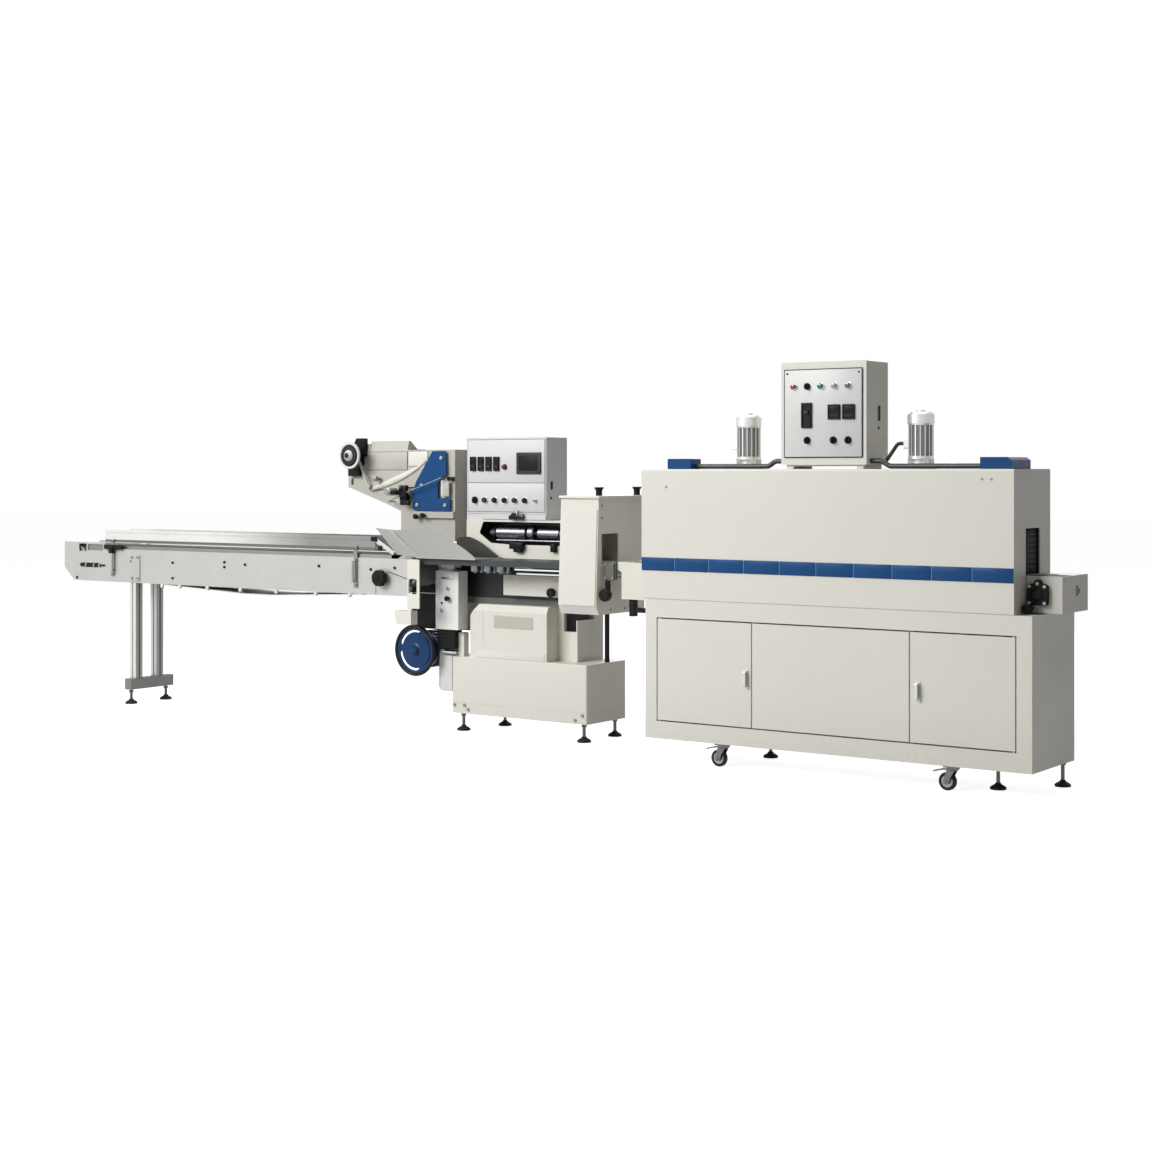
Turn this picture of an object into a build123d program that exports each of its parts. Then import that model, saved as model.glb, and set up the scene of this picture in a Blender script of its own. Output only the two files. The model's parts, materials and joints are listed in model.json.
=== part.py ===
from build123d import *
import os

# Horizontal flow wrapper with its shrink tunnel, one packaging line on a common product path.
# Millimetres, +X with the product flow, +Y to the back, +Z up, floor at Z = 0, origin under the middle.

# The whole line
LINE_LENGTH = 5985.0
LINE_DEPTH = 632.0
LEFT = -LINE_LENGTH / 2
RIGHT = LINE_LENGTH / 2
FRONT = -LINE_DEPTH / 2
BACK = LINE_DEPTH / 2
BELT_TOP = 886.0
PATH_FRONT = -173.0
PATH_BACK = -33.0
PATH_MIDDLE = (PATH_FRONT + PATH_BACK) / 2
PIN_CLEARANCE = 0.05

# Infeed conveyor
INFEED_FRONT = -201.0
INFEED_BACK = 59.0
INFEED_RIGHT = -332.0
PLATE = 6.0
SIDE_BOTTOM = 677.0
SIDE_TOP = 863.0
SIDE_FLANGE = 22.0
TAIL_TOP = 897.0
TAIL_RIGHT = -2642.0
TAIL_CHAMFER_X = 84.0
TAIL_CHAMFER_Z = 74.0
TAIL_WINDOW = (-2868.0, -2800.0, 845.0, 889.0)
BED_WINDOW = (-2792.0, -2662.0, 851.0, 885.0)
TENSION_SLOT = (-2775.0, 767.0, 170.0, 25.0)
BELT_THICKNESS = 5.0
INFEED_BELT_BOTTOM = 720.0
INFEED_BELT_FRONT = -185.0
INFEED_BELT_BACK = -25.0
TAIL_PULLEY_X = -2900.0
HEAD_PULLEY_X = -420.0
RAIL_BOTTOM = 903.0
RAIL_TOP = 972.0
RAIL_RIGHT = -610.0
RAIL_SHEET = 3.0
RAIL_HEM = 14.0
BACK_RAIL_Y = -20.0
BACK_RAIL_BOTTOM = BELT_TOP + 3.0
STRAP_XS = (-2574.0, -737.0)
STRAP_WIDTH = 24.0
STRAP_BOTTOM = 710.0
KNOB_X = -560.0
KNOB_Z = 764.0
KNOB_RADIUS = 42.0
KNOB_SHAFT_RADIUS = 8.0
KNOB_RECESS = 46.0
KNOB_LOBES = 8
CHEEK_LEFT = -391.0
CHEEK_RIGHT = -313.0
CHEEK_BOTTOM = 618.0

# Infeed stand
STAND_LEFT = -2448.0
POST_SIZE = 52.0
BACK_POST_Y = -15.0
POST_SLOT_WIDTH = 10.0
POST_SLOT_DEPTH = 8.0
POST_TOP = 700.0
BEAM_BOTTOM = 79.0
BEAM_TOP = 141.0
BEAM_OVERHANG = 33.0

# Wrapper base and wall
BASE_LEFT = -257.0
BASE_RIGHT = 572.5
BASE_FRONT = -18.0
BASE_BOTTOM = 89.0
BASE_TOP = 374.0
BASE_BEND = 9.0
BASE_SEAM = 140.0
PEDESTAL_LEFT = -149.5
PEDESTAL_RIGHT = 444.5
PEDESTAL_NOSE_RIGHT = 325.0
PEDESTAL_FRONT = -6.0
PEDESTAL_STEP = 84.0
PEDESTAL_BACK = 304.0
PEDESTAL_TOP = 640.0
PEDESTAL_BEVEL = 32.0
PEDESTAL_SEAM = 406.0
POCKET_LEFT = 364.0
POCKET_BOTTOM = 519.0
POCKET_WALL_TOP = 575.0
SEAM_WIDTH = 3.0
SEAM_DEPTH = 1.5
WALL_LEFT = -221.0
WALL_FRONT = 54.0
WALL_BACK = 227.0
WALL_TOP = 1060.0
PANEL_RIGHT = 279.0
PANEL_TOP = 1470.0
PANEL_DOOR_BOTTOM = 1092.0
PANEL_DOOR_SHEET = 4.0
PANEL_LIP_LEFT = -118.0
DECK_BOTTOM = 853.0
DECK_TOP = 870.0
DECK_FRONT = -180.0
DECK_LIP = 30.0
SILL_LEFT = 60.0
SILL_BOTTOM = 690.0
SILL_TOP = 795.0
RECESS_DEPTH = 90.0
ROLLER_Y = WALL_FRONT + 44.0
ROLLER_Z = 994.0

# Film unwind
COLUMN_LEFT = -656.0
COLUMN_NECK = -613.0
COLUMN_RIGHT = -296.0
COLUMN_BOTTOM = 946.0
COLUMN_TOP = 1412.0
ARM_TOP = 1459.0
ARM_BOX_LEFT = -868.0
ARM_BOX_BOTTOM = 1305.0
ARM_BACK = 200.0
BRACKET_FRONT = WALL_FRONT - 24.0
PIVOT_X = -859.0
PIVOT_Z = 1225.0
BRAKE_X = -610.0
BRAKE_Z = 1168.0
SPINDLE_X = -935.0
SPINDLE_Z = 1384.0
SPINDLE_RADIUS = 15.0
REEL_RADIUS = 70.0
REEL_FRONT = -36.0
GUARD_FRONT = 36.0
GUARD_SHEET = 6.0

# Bag former
FORMER_SHEET = 3.0
FORMER_FRONT = -206.0
FORMER_BACK = 20.0

# Drives under the infeed end
DRIVE_BOX_LEFT = -331.0
DRIVE_BOX_RIGHT = -183.0
DRIVE_BOX_FRONT = -60.0
DRIVE_BOX_BACK = 17.0
DRIVE_BOX_BOTTOM = 509.0
DRIVE_BOX_TOP = 802.0
SIDE_BOX_LEFT = -333.0
MOTOR_X = -455.0
MOTOR_Z = 395.0
MOTOR_RADIUS = 96.0
MOTOR_FRONT = -40.0
MOTOR_BACK = 150.0
MOTOR_BRACKET_X = -345.0
MOTOR_FINS = 24
WHEEL_RADIUS = 122.0
WHEEL_RIM = 9.0
WHEEL_Y = -72.0
WHEEL_SHAFT = 12.0

# End-jaw housing
JAW_LEFT = 550.0
JAW_RIGHT = 766.0
JAW_FRONT = -196.0
JAW_BACK = 186.0
JAW_BOTTOM = 634.0
JAW_TOP = 1176.0
JAW_PASSAGE_TOP = 1010.0
JAW_LEAN = 25.0
JAW_TUCK = 42.0

# Shrink tunnel
CABINET_LEFT = 1091.5
CABINET_RIGHT = 2919.5
CABINET_FRONT = -296.0
CABINET_BACK = 157.0
CABINET_BOTTOM = 105.0
CABINET_TOP = 729.0
CABINET_SHEET = 6.0
FRAME_DEPTH = 20.0
DOOR_LEFT = 1157.0
DOOR_RIGHT = 2848.0
DOOR_BOTTOM = 189.0
DOOR_TOP = 642.0
LEFT_SEAM = 1642.0
RIGHT_SEAM = 2390.0
DOOR_GAP = 6.0
MULLION_WIDTH = 30.0
DOOR_THICKNESS = 16.0
DOOR_PIN_RADIUS = 4.0
DOOR_PIN_INSET = 8.0
DOOR_PIN_LENGTH = 20.0
HANDLE_WIDTH = 22.0
HANDLE_BOTTOM = 357.0
HANDLE_TOP = 443.0
HOOD_LEFT = 1070.5
HOOD_RIGHT = 2843.5
HOOD_BACK = 85.0
HOOD_TOP = 1312.0
HOOD_WALL = 20.0
HOOD_END = 6.5
HOOD_BEND = 8.0
STRIPE_BOTTOM = 857.0
STRIPE_TOP = 916.0
PASSAGE_TOP = 1072.0
CONVEYOR_LEFT = 850.0
CONVEYOR_FRONT = -164.0
CONVEYOR_BACK = -30.0
CONVEYOR_BOTTOM = 733.0
ENTRY_BOTTOM = 711.0
ENTRY_SLANT = 22.0
EXIT_BOX_BACK = 115.0
BOX_LEFT = 1776.0
BOX_RIGHT = 2182.0
BOX_FRONT = -276.0
BOX_BACK = -71.0
BOX_TOP = 1768.0
BOX_PLINTH = 18.0
FAN_XS = (1517.0, 2352.0)
FAN_Y = -106.0
FAN_RIBS = 16
FAN_BOX = 72.0
CASTER_XS = (1476.5, 2563.5)
CASTER_Y = -250.0
CASTER_WHEEL_RADIUS = 37.5
CASTER_TRAIL = 24.0
CASTER_AXLE_RADIUS = 5.0
KINGPIN_RADIUS = 8.0


def block(x0, x1, y0, y1, z0, z1):
    """Box between two corners."""
    centre = Pos((x0 + x1) / 2, (y0 + y1) / 2, (z0 + z1) / 2)
    return centre * Box(x1 - x0, y1 - y0, z1 - z0)


def rounded(solid, axis, radius):
    """The solid with its edges along one axis rounded."""
    return fillet(solid.edges().filter_by(axis), radius)


def through_y(sketch, y0, y1):
    """Sketch in X and Z pushed from y0 to y1."""
    return Pos(0, y0, 0) * extrude(Plane.XZ * sketch, y1 - y0, dir=(0, 1, 0))


def outline(points, radius=0):
    """Closed outline through the points, with its corners rounded."""
    face = make_face(Polyline(*points, close=True))
    return fillet(face.vertices(), radius) if radius else face


def side_prism(points, y0, y1, radius=0):
    """Outline in X and Z pushed from y0 to y1."""
    return through_y(outline(points, radius), y0, y1)


def end_prism(points, x0, x1, radius=0):
    """Outline in Y and Z pushed from x0 to x1."""
    return Pos(x0, 0, 0) * extrude(Plane.YZ * outline(points, radius), x1 - x0, dir=(1, 0, 0))


def rod_x(y, z, radius, x0, x1):
    return Pos((x0 + x1) / 2, y, z) * Rot(0, 90, 0) * Cylinder(radius, x1 - x0)


def rod_y(x, z, radius, y0, y1):
    return Pos(x, (y0 + y1) / 2, z) * Rot(90, 0, 0) * Cylinder(radius, y1 - y0)


def rod_z(x, y, radius, z0, z1):
    return Pos(x, y, (z0 + z1) / 2) * Cylinder(radius, z1 - z0)


def turned_x(y, z, profile):
    """Round piece on an axis along X, turned from (x, radius) points."""
    return Pos(0, y, z) * revolve(outline(profile), Axis.X)


def turned_y(x, z, profile):
    """Round piece on an axis along Y, turned from (radius, y) points."""
    return Pos(x, 0, z) * revolve(outline(profile), Axis.Y)


def turned_z(x, y, profile):
    """Round piece on an axis along Z, turned from (radius, z) points."""
    return Pos(x, y, 0) * revolve(Plane.XZ * outline(profile), Axis.Z)


def bent_rod(points, bend, radius):
    """Round rod along straight runs joined by bends."""
    path = FilletPolyline(*points, radius=bend)
    return sweep(Plane(path @ 0, z_dir=path % 0) * Circle(radius), path=path)


def belt_loop(left_x, right_x, bottom, top, front, back):
    """Flat belt running round two pulleys."""
    height = top - bottom
    outer = SlotCenterToCenter(right_x - left_x, height)
    inner = SlotCenterToCenter(right_x - left_x, height - 2 * BELT_THICKNESS)
    return through_y(Pos((left_x + right_x) / 2, (bottom + top) / 2) * (outer - inner), front, back)


def lobed_knob(x, z, radius, front, back, lobes):
    """Grip knob on an axis along Y with finger hollows round its edge."""
    rim = radius / 6
    grip = turned_y(
        x, z, [(0, front), (radius - rim, front), (radius, front + rim), (radius, back), (0, back)]
    )
    for index in range(lobes):
        hollow = Pos(radius * 1.12, 0) * Circle(radius * 0.24)
        grip -= through_y(Pos(x, z) * (Rot(0, 0, 360 / lobes * index) * hollow), front, back)
    return grip


def levelling_foot(x, y, top):
    """Round pad, domed boss, lock nut and threaded stem under a frame."""
    profile = [(0, 0), (33, 0), (34, 4), (33, 9), (25, 15), (15, 20), (11, 26), (8, 29), (8, top), (0, top)]
    nut = Pos(x, y, top - 16) * extrude(RegularPolygon(14, 6), 10)
    return turned_z(x, y, profile) + nut


# Infeed conveyor


def infeed_side_plates():
    """Side plates with a chamfered tail, windows at the tail pulley and a recess round the hand knob."""
    shape = [
        (LEFT, SIDE_BOTTOM + TAIL_CHAMFER_Z),
        (LEFT, TAIL_TOP),
        (TAIL_RIGHT, TAIL_TOP),
        (TAIL_RIGHT, SIDE_TOP),
        (INFEED_RIGHT, SIDE_TOP),
        (INFEED_RIGHT, SIDE_BOTTOM),
        (LEFT + TAIL_CHAMFER_X, SIDE_BOTTOM),
    ]
    inner_front, inner_back = INFEED_FRONT + PLATE, INFEED_BACK - PLATE
    front = side_prism(shape, INFEED_FRONT, inner_front)
    back = side_prism(shape, inner_back, INFEED_BACK)
    # the foot of each plate is turned inwards, clear of the stand's posts
    foot_left = STAND_LEFT + POST_SIZE + 20
    foot = (SIDE_BOTTOM, SIDE_BOTTOM + 4)
    front += block(foot_left, INFEED_RIGHT, inner_front, inner_front + SIDE_FLANGE, *foot)
    back += block(foot_left, INFEED_RIGHT, inner_back - SIDE_FLANGE, inner_back, *foot)
    for x0, x1, z0, z1 in (TAIL_WINDOW, BED_WINDOW):
        window = Pos((x0 + x1) / 2, (z0 + z1) / 2) * RectangleRounded(x1 - x0, z1 - z0, 4)
        front -= through_y(window, INFEED_FRONT, inner_front)
    slot_x, slot_z, slot_length, slot_width = TENSION_SLOT
    slot = Pos(slot_x, slot_z) * SlotOverall(slot_length, slot_width)
    front -= through_y(slot, INFEED_FRONT, inner_front)
    back -= through_y(slot, inner_back, INFEED_BACK)
    # shallow recess that runs from the knob to the discharge end
    recess = [
        (KNOB_X - KNOB_RECESS, SIDE_BOTTOM),
        (KNOB_X - KNOB_RECESS, KNOB_Z),
        (KNOB_X, KNOB_Z + KNOB_RECESS),
        (CHEEK_LEFT, KNOB_Z),
        (INFEED_RIGHT, KNOB_Z),
        (INFEED_RIGHT, SIDE_BOTTOM),
    ]
    front -= side_prism(recess, INFEED_FRONT, INFEED_FRONT + PLATE / 2)
    front -= rod_y(KNOB_X, KNOB_Z, KNOB_RECESS, INFEED_FRONT, INFEED_FRONT + PLATE / 2)
    front -= rod_y(KNOB_X, KNOB_Z, KNOB_SHAFT_RADIUS + PIN_CLEARANCE, INFEED_FRONT, inner_front)
    # opening behind the window of the cheek
    front -= block(CHEEK_LEFT + 8, INFEED_RIGHT - 6, INFEED_FRONT, inner_front, KNOB_Z - 74, KNOB_Z + 2)
    return Compound(children=[front, back])


def infeed_bed():
    """Channel that the upper run of the belt slides on."""
    left, right = TAIL_PULLEY_X + 85, HEAD_PULLEY_X - 85
    top = BELT_TOP - BELT_THICKNESS
    front, back = INFEED_FRONT + PLATE, INFEED_BACK - PLATE
    outer = block(left, right, front, back, top - 100, top)
    inner = block(left, right, front + 4, back - 4, top - 100, top - 4)
    return outer - inner


def infeed_belt():
    return belt_loop(
        TAIL_PULLEY_X, HEAD_PULLEY_X, INFEED_BELT_BOTTOM, BELT_TOP, INFEED_BELT_FRONT, INFEED_BELT_BACK
    )


def infeed_pulleys():
    radius = (BELT_TOP - INFEED_BELT_BOTTOM) / 2 - BELT_THICKNESS
    z = (BELT_TOP + INFEED_BELT_BOTTOM) / 2
    pulleys = []
    for x in (TAIL_PULLEY_X, HEAD_PULLEY_X):
        drum = rod_y(x, z, radius, INFEED_BELT_FRONT, INFEED_BELT_BACK)
        shaft = rod_y(x, z, 15, INFEED_FRONT + PLATE, INFEED_BACK - PLATE)
        pulleys.append(drum + shaft)
    return Compound(children=pulleys)


def guide_rail(web_y, outward, bottom):
    """Upright guide folded from sheet, with a hem turned down on its outer side."""
    hem = 3 * RAIL_SHEET
    points = [
        (0, bottom),
        (RAIL_SHEET, bottom),
        (RAIL_SHEET, RAIL_TOP),
        (-hem, RAIL_TOP),
        (-hem, RAIL_TOP - RAIL_HEM),
        (RAIL_SHEET - hem, RAIL_TOP - RAIL_HEM),
        (RAIL_SHEET - hem, RAIL_TOP - RAIL_SHEET),
        (0, RAIL_TOP - RAIL_SHEET),
    ]
    return end_prism([(web_y - outward * y, z) for y, z in points], TAIL_RIGHT, RAIL_RIGHT)


def guide_rails():
    """Product guides on straps bolted to the side plates."""
    front = guide_rail(INFEED_FRONT, -1, RAIL_BOTTOM)
    back = guide_rail(BACK_RAIL_Y + RAIL_SHEET, 1, BACK_RAIL_BOTTOM)
    half = STRAP_WIDTH / 2
    for x in STRAP_XS:
        front += block(x - half, x + half, INFEED_FRONT - PLATE, INFEED_FRONT, STRAP_BOTTOM, RAIL_BOTTOM + 20)
        back += block(x - half, x + half, INFEED_BACK, INFEED_BACK + PLATE, STRAP_BOTTOM, RAIL_BOTTOM + 47)
        back += rod_y(x, RAIL_BOTTOM + 32, 6, BACK_RAIL_Y + RAIL_SHEET, INFEED_BACK)
    return Compound(children=[front, back])


def return_tray():
    """Shallow bent sheet under the return run."""
    left, middle_left, middle_right, right = -2180.0, -1550.0, -1350.0, -700.0
    sag, sheet = 32.0, 4.0
    upper = [
        (left, SIDE_BOTTOM),
        (middle_left, SIDE_BOTTOM - sag + sheet),
        (middle_right, SIDE_BOTTOM - sag + sheet),
        (right, SIDE_BOTTOM),
    ]
    lower = [(x, z - sheet) for x, z in reversed(upper)]
    return side_prism(upper + lower, INFEED_FRONT, INFEED_BACK)


def slotted_post(y):
    """Upright of aluminium profile with a groove along each face."""
    section = RectangleRounded(POST_SIZE, POST_SIZE, 3)
    for angle in range(0, 360, 90):
        groove = Pos((POST_SIZE - POST_SLOT_DEPTH) / 2, 0) * Rectangle(POST_SLOT_DEPTH, POST_SLOT_WIDTH)
        section -= Rot(0, 0, angle) * groove
    return Pos(STAND_LEFT + POST_SIZE / 2, y, BEAM_TOP) * extrude(section, POST_TOP - BEAM_TOP)


def infeed_stand():
    """Two slotted posts between cross beams, with the plate that bolts them to the conveyor."""
    front, back = INFEED_FRONT + PLATE, INFEED_BACK - PLATE
    right = STAND_LEFT + POST_SIZE
    beam = block(STAND_LEFT, right, front - BEAM_OVERHANG, back + BEAM_OVERHANG, BEAM_BOTTOM, BEAM_TOP)
    beam = rounded(beam, Axis.Y, 5)
    posts = slotted_post(front + POST_SIZE / 2) + slotted_post(BACK_POST_Y)
    posts += block(STAND_LEFT, right, front, back, POST_TOP - 20, POST_TOP)
    plate_middle = STAND_LEFT + POST_SIZE / 2 + 33
    plate = Pos(plate_middle, 762) * RectangleRounded(72, 145, 6)
    return Compound(children=[beam + posts, through_y(plate, INFEED_FRONT - PLATE, INFEED_FRONT)])


def infeed_end_bracket():
    """Cheek with its drive guard at the discharge end, and the bar that ties the infeed to the wall."""
    front = INFEED_FRONT - PLATE
    cheek = block(CHEEK_LEFT, CHEEK_RIGHT, front, INFEED_FRONT, CHEEK_BOTTOM, SIDE_TOP - 1)
    cheek = rounded(cheek, Axis.Y, 6)
    window = Pos(CHEEK_LEFT + 36, KNOB_Z - 36) * RectangleRounded(56, 76, 14)
    cheek -= through_y(window, front, INFEED_FRONT)
    guard_shape = [(-478, 605), (CHEEK_LEFT + 24, 605), (CHEEK_LEFT + 24, 535), (-462, 535)]
    guard = side_prism(guard_shape, front, INFEED_FRONT + 44, 4)
    guard += block(CHEEK_LEFT, CHEEK_LEFT + 24, front, INFEED_FRONT, 590, CHEEK_BOTTOM + 10)
    tie = rounded(block(CHEEK_LEFT, WALL_LEFT, INFEED_BACK, INFEED_BACK + 60, 700, 850), Axis.X, 8)
    return Compound(children=[cheek + guard, tie])


def infeed_knob():
    grip = lobed_knob(KNOB_X, KNOB_Z, KNOB_RADIUS, INFEED_FRONT - 42, INFEED_FRONT - 12, KNOB_LOBES)
    cap = turned_y(
        KNOB_X,
        KNOB_Z,
        [(0, INFEED_FRONT - 48), (10, INFEED_FRONT - 48), (14, INFEED_FRONT - 42), (0, INFEED_FRONT - 42)],
    )
    shaft = rod_y(KNOB_X, KNOB_Z, KNOB_SHAFT_RADIUS, INFEED_FRONT - 12, INFEED_FRONT + PLATE)
    return grip + cap + shaft


def levelling_feet():
    stand_x = STAND_LEFT + POST_SIZE / 2
    feet = [levelling_foot(stand_x, y, BEAM_BOTTOM) for y in (-204, 52)]
    front, back = BASE_FRONT + 36, BACK - 36
    base_right = BASE_RIGHT - 41
    for x, y in ((BASE_LEFT + 47, front), (BASE_LEFT + 107, back), (base_right, front), (base_right, back)):
        feet.append(levelling_foot(x, y, BASE_BOTTOM))
    for x, y in ((1505, 112), (2696.5, -106), (2884.5, 118)):
        feet.append(levelling_foot(x, y, CABINET_BOTTOM))
    return Compound(children=feet)


# Wrapper


def base_cabinet():
    """Closed sheet base with bent edges and a seam above its foot."""
    body = rounded(block(BASE_LEFT, BASE_RIGHT, BASE_FRONT, BACK, BASE_BOTTOM, BASE_TOP), Axis.Z, BASE_BEND)
    body = fillet(body.faces().sort_by(Axis.Z)[-1].edges(), BASE_BEND / 2)
    seam = block(BASE_LEFT, BASE_RIGHT, BASE_FRONT, BACK, BASE_SEAM, BASE_SEAM + SEAM_WIDTH)
    core = block(
        BASE_LEFT + SEAM_DEPTH,
        BASE_RIGHT - SEAM_DEPTH,
        BASE_FRONT + SEAM_DEPTH,
        BACK - SEAM_DEPTH,
        BASE_SEAM,
        BASE_SEAM + SEAM_WIDTH,
    )
    return body - (seam - core)


def pedestal():
    """Machine foot with a bevelled nose at the operator side and an open pocket beside the jaws."""
    nose = side_prism(
        [
            (PEDESTAL_LEFT, BASE_TOP),
            (PEDESTAL_LEFT, PEDESTAL_TOP - 57),
            (PEDESTAL_LEFT + 45, PEDESTAL_TOP),
            (PEDESTAL_NOSE_RIGHT, PEDESTAL_TOP),
            (PEDESTAL_NOSE_RIGHT, BASE_TOP),
        ],
        PEDESTAL_FRONT,
        PEDESTAL_STEP,
    )
    bevel = [
        (PEDESTAL_FRONT, PEDESTAL_TOP - PEDESTAL_BEVEL),
        (PEDESTAL_FRONT, PEDESTAL_TOP),
        (PEDESTAL_FRONT + PEDESTAL_BEVEL / 2, PEDESTAL_TOP),
    ]
    nose -= end_prism(bevel, PEDESTAL_LEFT, PEDESTAL_NOSE_RIGHT)
    body = block(PEDESTAL_LEFT, PEDESTAL_RIGHT, PEDESTAL_STEP, PEDESTAL_BACK, BASE_TOP, PEDESTAL_TOP)
    wall = PEDESTAL_RIGHT - CABINET_SHEET
    body -= block(POCKET_LEFT, wall, PEDESTAL_STEP, WALL_BACK, POCKET_BOTTOM, PEDESTAL_TOP)
    body -= block(wall, PEDESTAL_RIGHT, PEDESTAL_STEP, WALL_BACK, POCKET_WALL_TOP, PEDESTAL_TOP)
    foot = nose + body
    groove_front, groove_back = PEDESTAL_FRONT, PEDESTAL_FRONT + SEAM_DEPTH
    foot -= block(-68, -68 + SEAM_WIDTH, groove_front, groove_back, 447, 601)
    seam = (PEDESTAL_SEAM, PEDESTAL_SEAM + SEAM_WIDTH)
    foot -= block(PEDESTAL_LEFT + 30, PEDESTAL_NOSE_RIGHT, groove_front, groove_back, *seam)
    return foot


def machine_wall():
    """Upright back wall with the recess of the film feed rollers."""
    wall = block(WALL_LEFT, JAW_LEFT, WALL_FRONT, WALL_BACK, PEDESTAL_TOP, WALL_TOP)
    sill = rounded(block(SILL_LEFT, JAW_LEFT, PEDESTAL_FRONT, WALL_FRONT, SILL_BOTTOM, SILL_TOP), Axis.X, 6)
    right = JAW_LEFT - 40
    recess = side_prism(
        [(-114, 1050), (-139, 992), (-65, 944), (61, 938), (right, 938), (right, 1050)],
        WALL_FRONT,
        WALL_FRONT + RECESS_DEPTH,
        12,
    )
    return wall + sill - recess


def fin_seal_wheel(x, y):
    """Wheel on an upright shaft under the deck, one of a pair that draws the film's fin down."""
    top = DECK_BOTTOM
    profile = [(0, 804), (9, 804), (12, 808), (24, 812), (24, 838), (12, 842), (8, 846), (8, top), (0, top)]
    return turned_z(x, y, profile)


def feed_rollers():
    """Film feed rollers in the wall's recess, their guide rod and the fin-seal wheels under the deck."""
    right = JAW_LEFT - 40
    feed = turned_x(
        ROLLER_Y,
        ROLLER_Z,
        [
            (-100, 0),
            (-100, 10),
            (-88, 24),
            (-52, 34),
            (-52, 20),
            (-40, 20),
            (-40, 36),
            (137, 36),
            (140, 18),
            (152, 18),
            (154, 38),
            (158, 42),
            (186, 42),
            (190, 38),
            (192, 16),
            (212, 16),
            (215, 32),
            (340, 32),
            (343, 24),
            (372, 24),
            (374, 14),
            (right, 14),
            (right, 0),
        ],
    )
    guide = rod_x(WALL_FRONT + 16, 958, 6, -40, right)
    wheels = [fin_seal_wheel(x, PATH_MIDDLE + side * 25) for x in (-20, 60, 140) for side in (-1, 1)]
    return Compound(children=[feed, guide] + wheels)


def deck_table():
    """Table under the film tube with a turned-down front lip and the slot of the fin seal."""
    left = INFEED_RIGHT + 7
    section = [
        (DECK_FRONT, DECK_TOP),
        (WALL_FRONT, DECK_TOP),
        (WALL_FRONT, DECK_BOTTOM),
        (DECK_FRONT + 4, DECK_BOTTOM),
        (DECK_FRONT + 4, DECK_TOP - DECK_LIP),
        (DECK_FRONT, DECK_TOP - DECK_LIP),
    ]
    deck = end_prism(section, left, JAW_LEFT)
    slot = Pos(120, PATH_MIDDLE, DECK_BOTTOM) * extrude(SlotOverall(360, 10), DECK_TOP - DECK_BOTTOM)
    return deck - slot


def control_box():
    """Electrical box with bent edges, a door with rounded corners and a lip over the rollers."""
    front = WALL_FRONT + PANEL_DOOR_SHEET
    body = rounded(block(WALL_LEFT, PANEL_RIGHT, front, WALL_BACK, WALL_TOP, PANEL_TOP), Axis.Y, 5)
    door_height = PANEL_TOP - 4 - PANEL_DOOR_BOTTOM
    door_middle = Pos((WALL_LEFT + PANEL_RIGHT) / 2, PANEL_DOOR_BOTTOM + door_height / 2)
    door = door_middle * RectangleRounded(PANEL_RIGHT - WALL_LEFT - 8, door_height, 6)
    lip = block(PANEL_LIP_LEFT, PANEL_RIGHT - 2, WALL_FRONT - 4, front, WALL_TOP + 2, PANEL_DOOR_BOTTOM - 4)
    return body + through_y(door, WALL_FRONT, front) + rounded(lip, Axis.X, 2)


def push_button(x, z, face, radius, reach):
    """Bezel ring and cap standing out of a panel."""
    profile = [
        (0, face - reach),
        (radius * 0.62, face - reach),
        (radius * 0.7, face - reach + 2),
        (radius * 0.7, face - 5),
        (radius, face - 4),
        (radius, face),
        (0, face),
    ]
    return turned_y(x, z, profile)


def framed_screen(x0, x1, z0, z1, face, reach, border):
    """Bezel round a sunk screen."""
    bezel = Pos((x0 + x1) / 2, (z0 + z1) / 2) * RectangleRounded(x1 - x0, z1 - z0, 4)
    screen = block(x0 + border, x1 - border, face - reach, face - reach + 2, z0 + border, z1 - border)
    return through_y(bezel, face - reach, face) - screen


def panel_controls():
    """Meters, touch screen and push buttons on the control box."""
    face = WALL_FRONT
    pieces = [framed_screen(95, 248, 1290, 1397, face, 8, 12)]
    for index in range(4):
        left = -189 + 46 * index
        pieces.append(framed_screen(left, left + 30, 1302, 1374, face, 10, 5))
    pieces.append(push_button(24, 1324, face, 15, 24))
    for index in range(7):
        pieces.append(push_button(-168 + 63.8 * index, 1158, face, 15, 18))
    return Compound(children=pieces)


def film_column():
    """Column of the film unwind with a ledge, and its tie to the wall."""
    column = side_prism(
        [
            (COLUMN_LEFT, COLUMN_BOTTOM),
            (COLUMN_LEFT, 1096),
            (COLUMN_NECK, 1110),
            (COLUMN_NECK, COLUMN_TOP),
            (COLUMN_RIGHT, COLUMN_TOP),
            (COLUMN_RIGHT, COLUMN_BOTTOM),
        ],
        WALL_FRONT,
        WALL_BACK,
    )
    ledge = rounded(block(-562, COLUMN_RIGHT, WALL_FRONT - 16, WALL_FRONT, 1062, 1096), Axis.X, 3)
    tie = block(COLUMN_RIGHT, WALL_LEFT, WALL_FRONT + 96, WALL_BACK, COLUMN_BOTTOM, COLUMN_TOP)
    return column + ledge + tie


def arm_box():
    """Upper cover of the arm, its front leaning back and its roof falling to the rear."""
    section = [
        (WALL_FRONT, ARM_BOX_BOTTOM),
        (WALL_FRONT, 1400),
        (WALL_FRONT + 12, ARM_TOP),
        (WALL_FRONT + 26, ARM_TOP),
        (WALL_FRONT + 82, COLUMN_TOP + 4),
        (ARM_BACK, COLUMN_TOP + 4),
        (ARM_BACK, ARM_BOX_BOTTOM),
    ]
    return end_prism(section, ARM_BOX_LEFT, COLUMN_NECK, 5)


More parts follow.
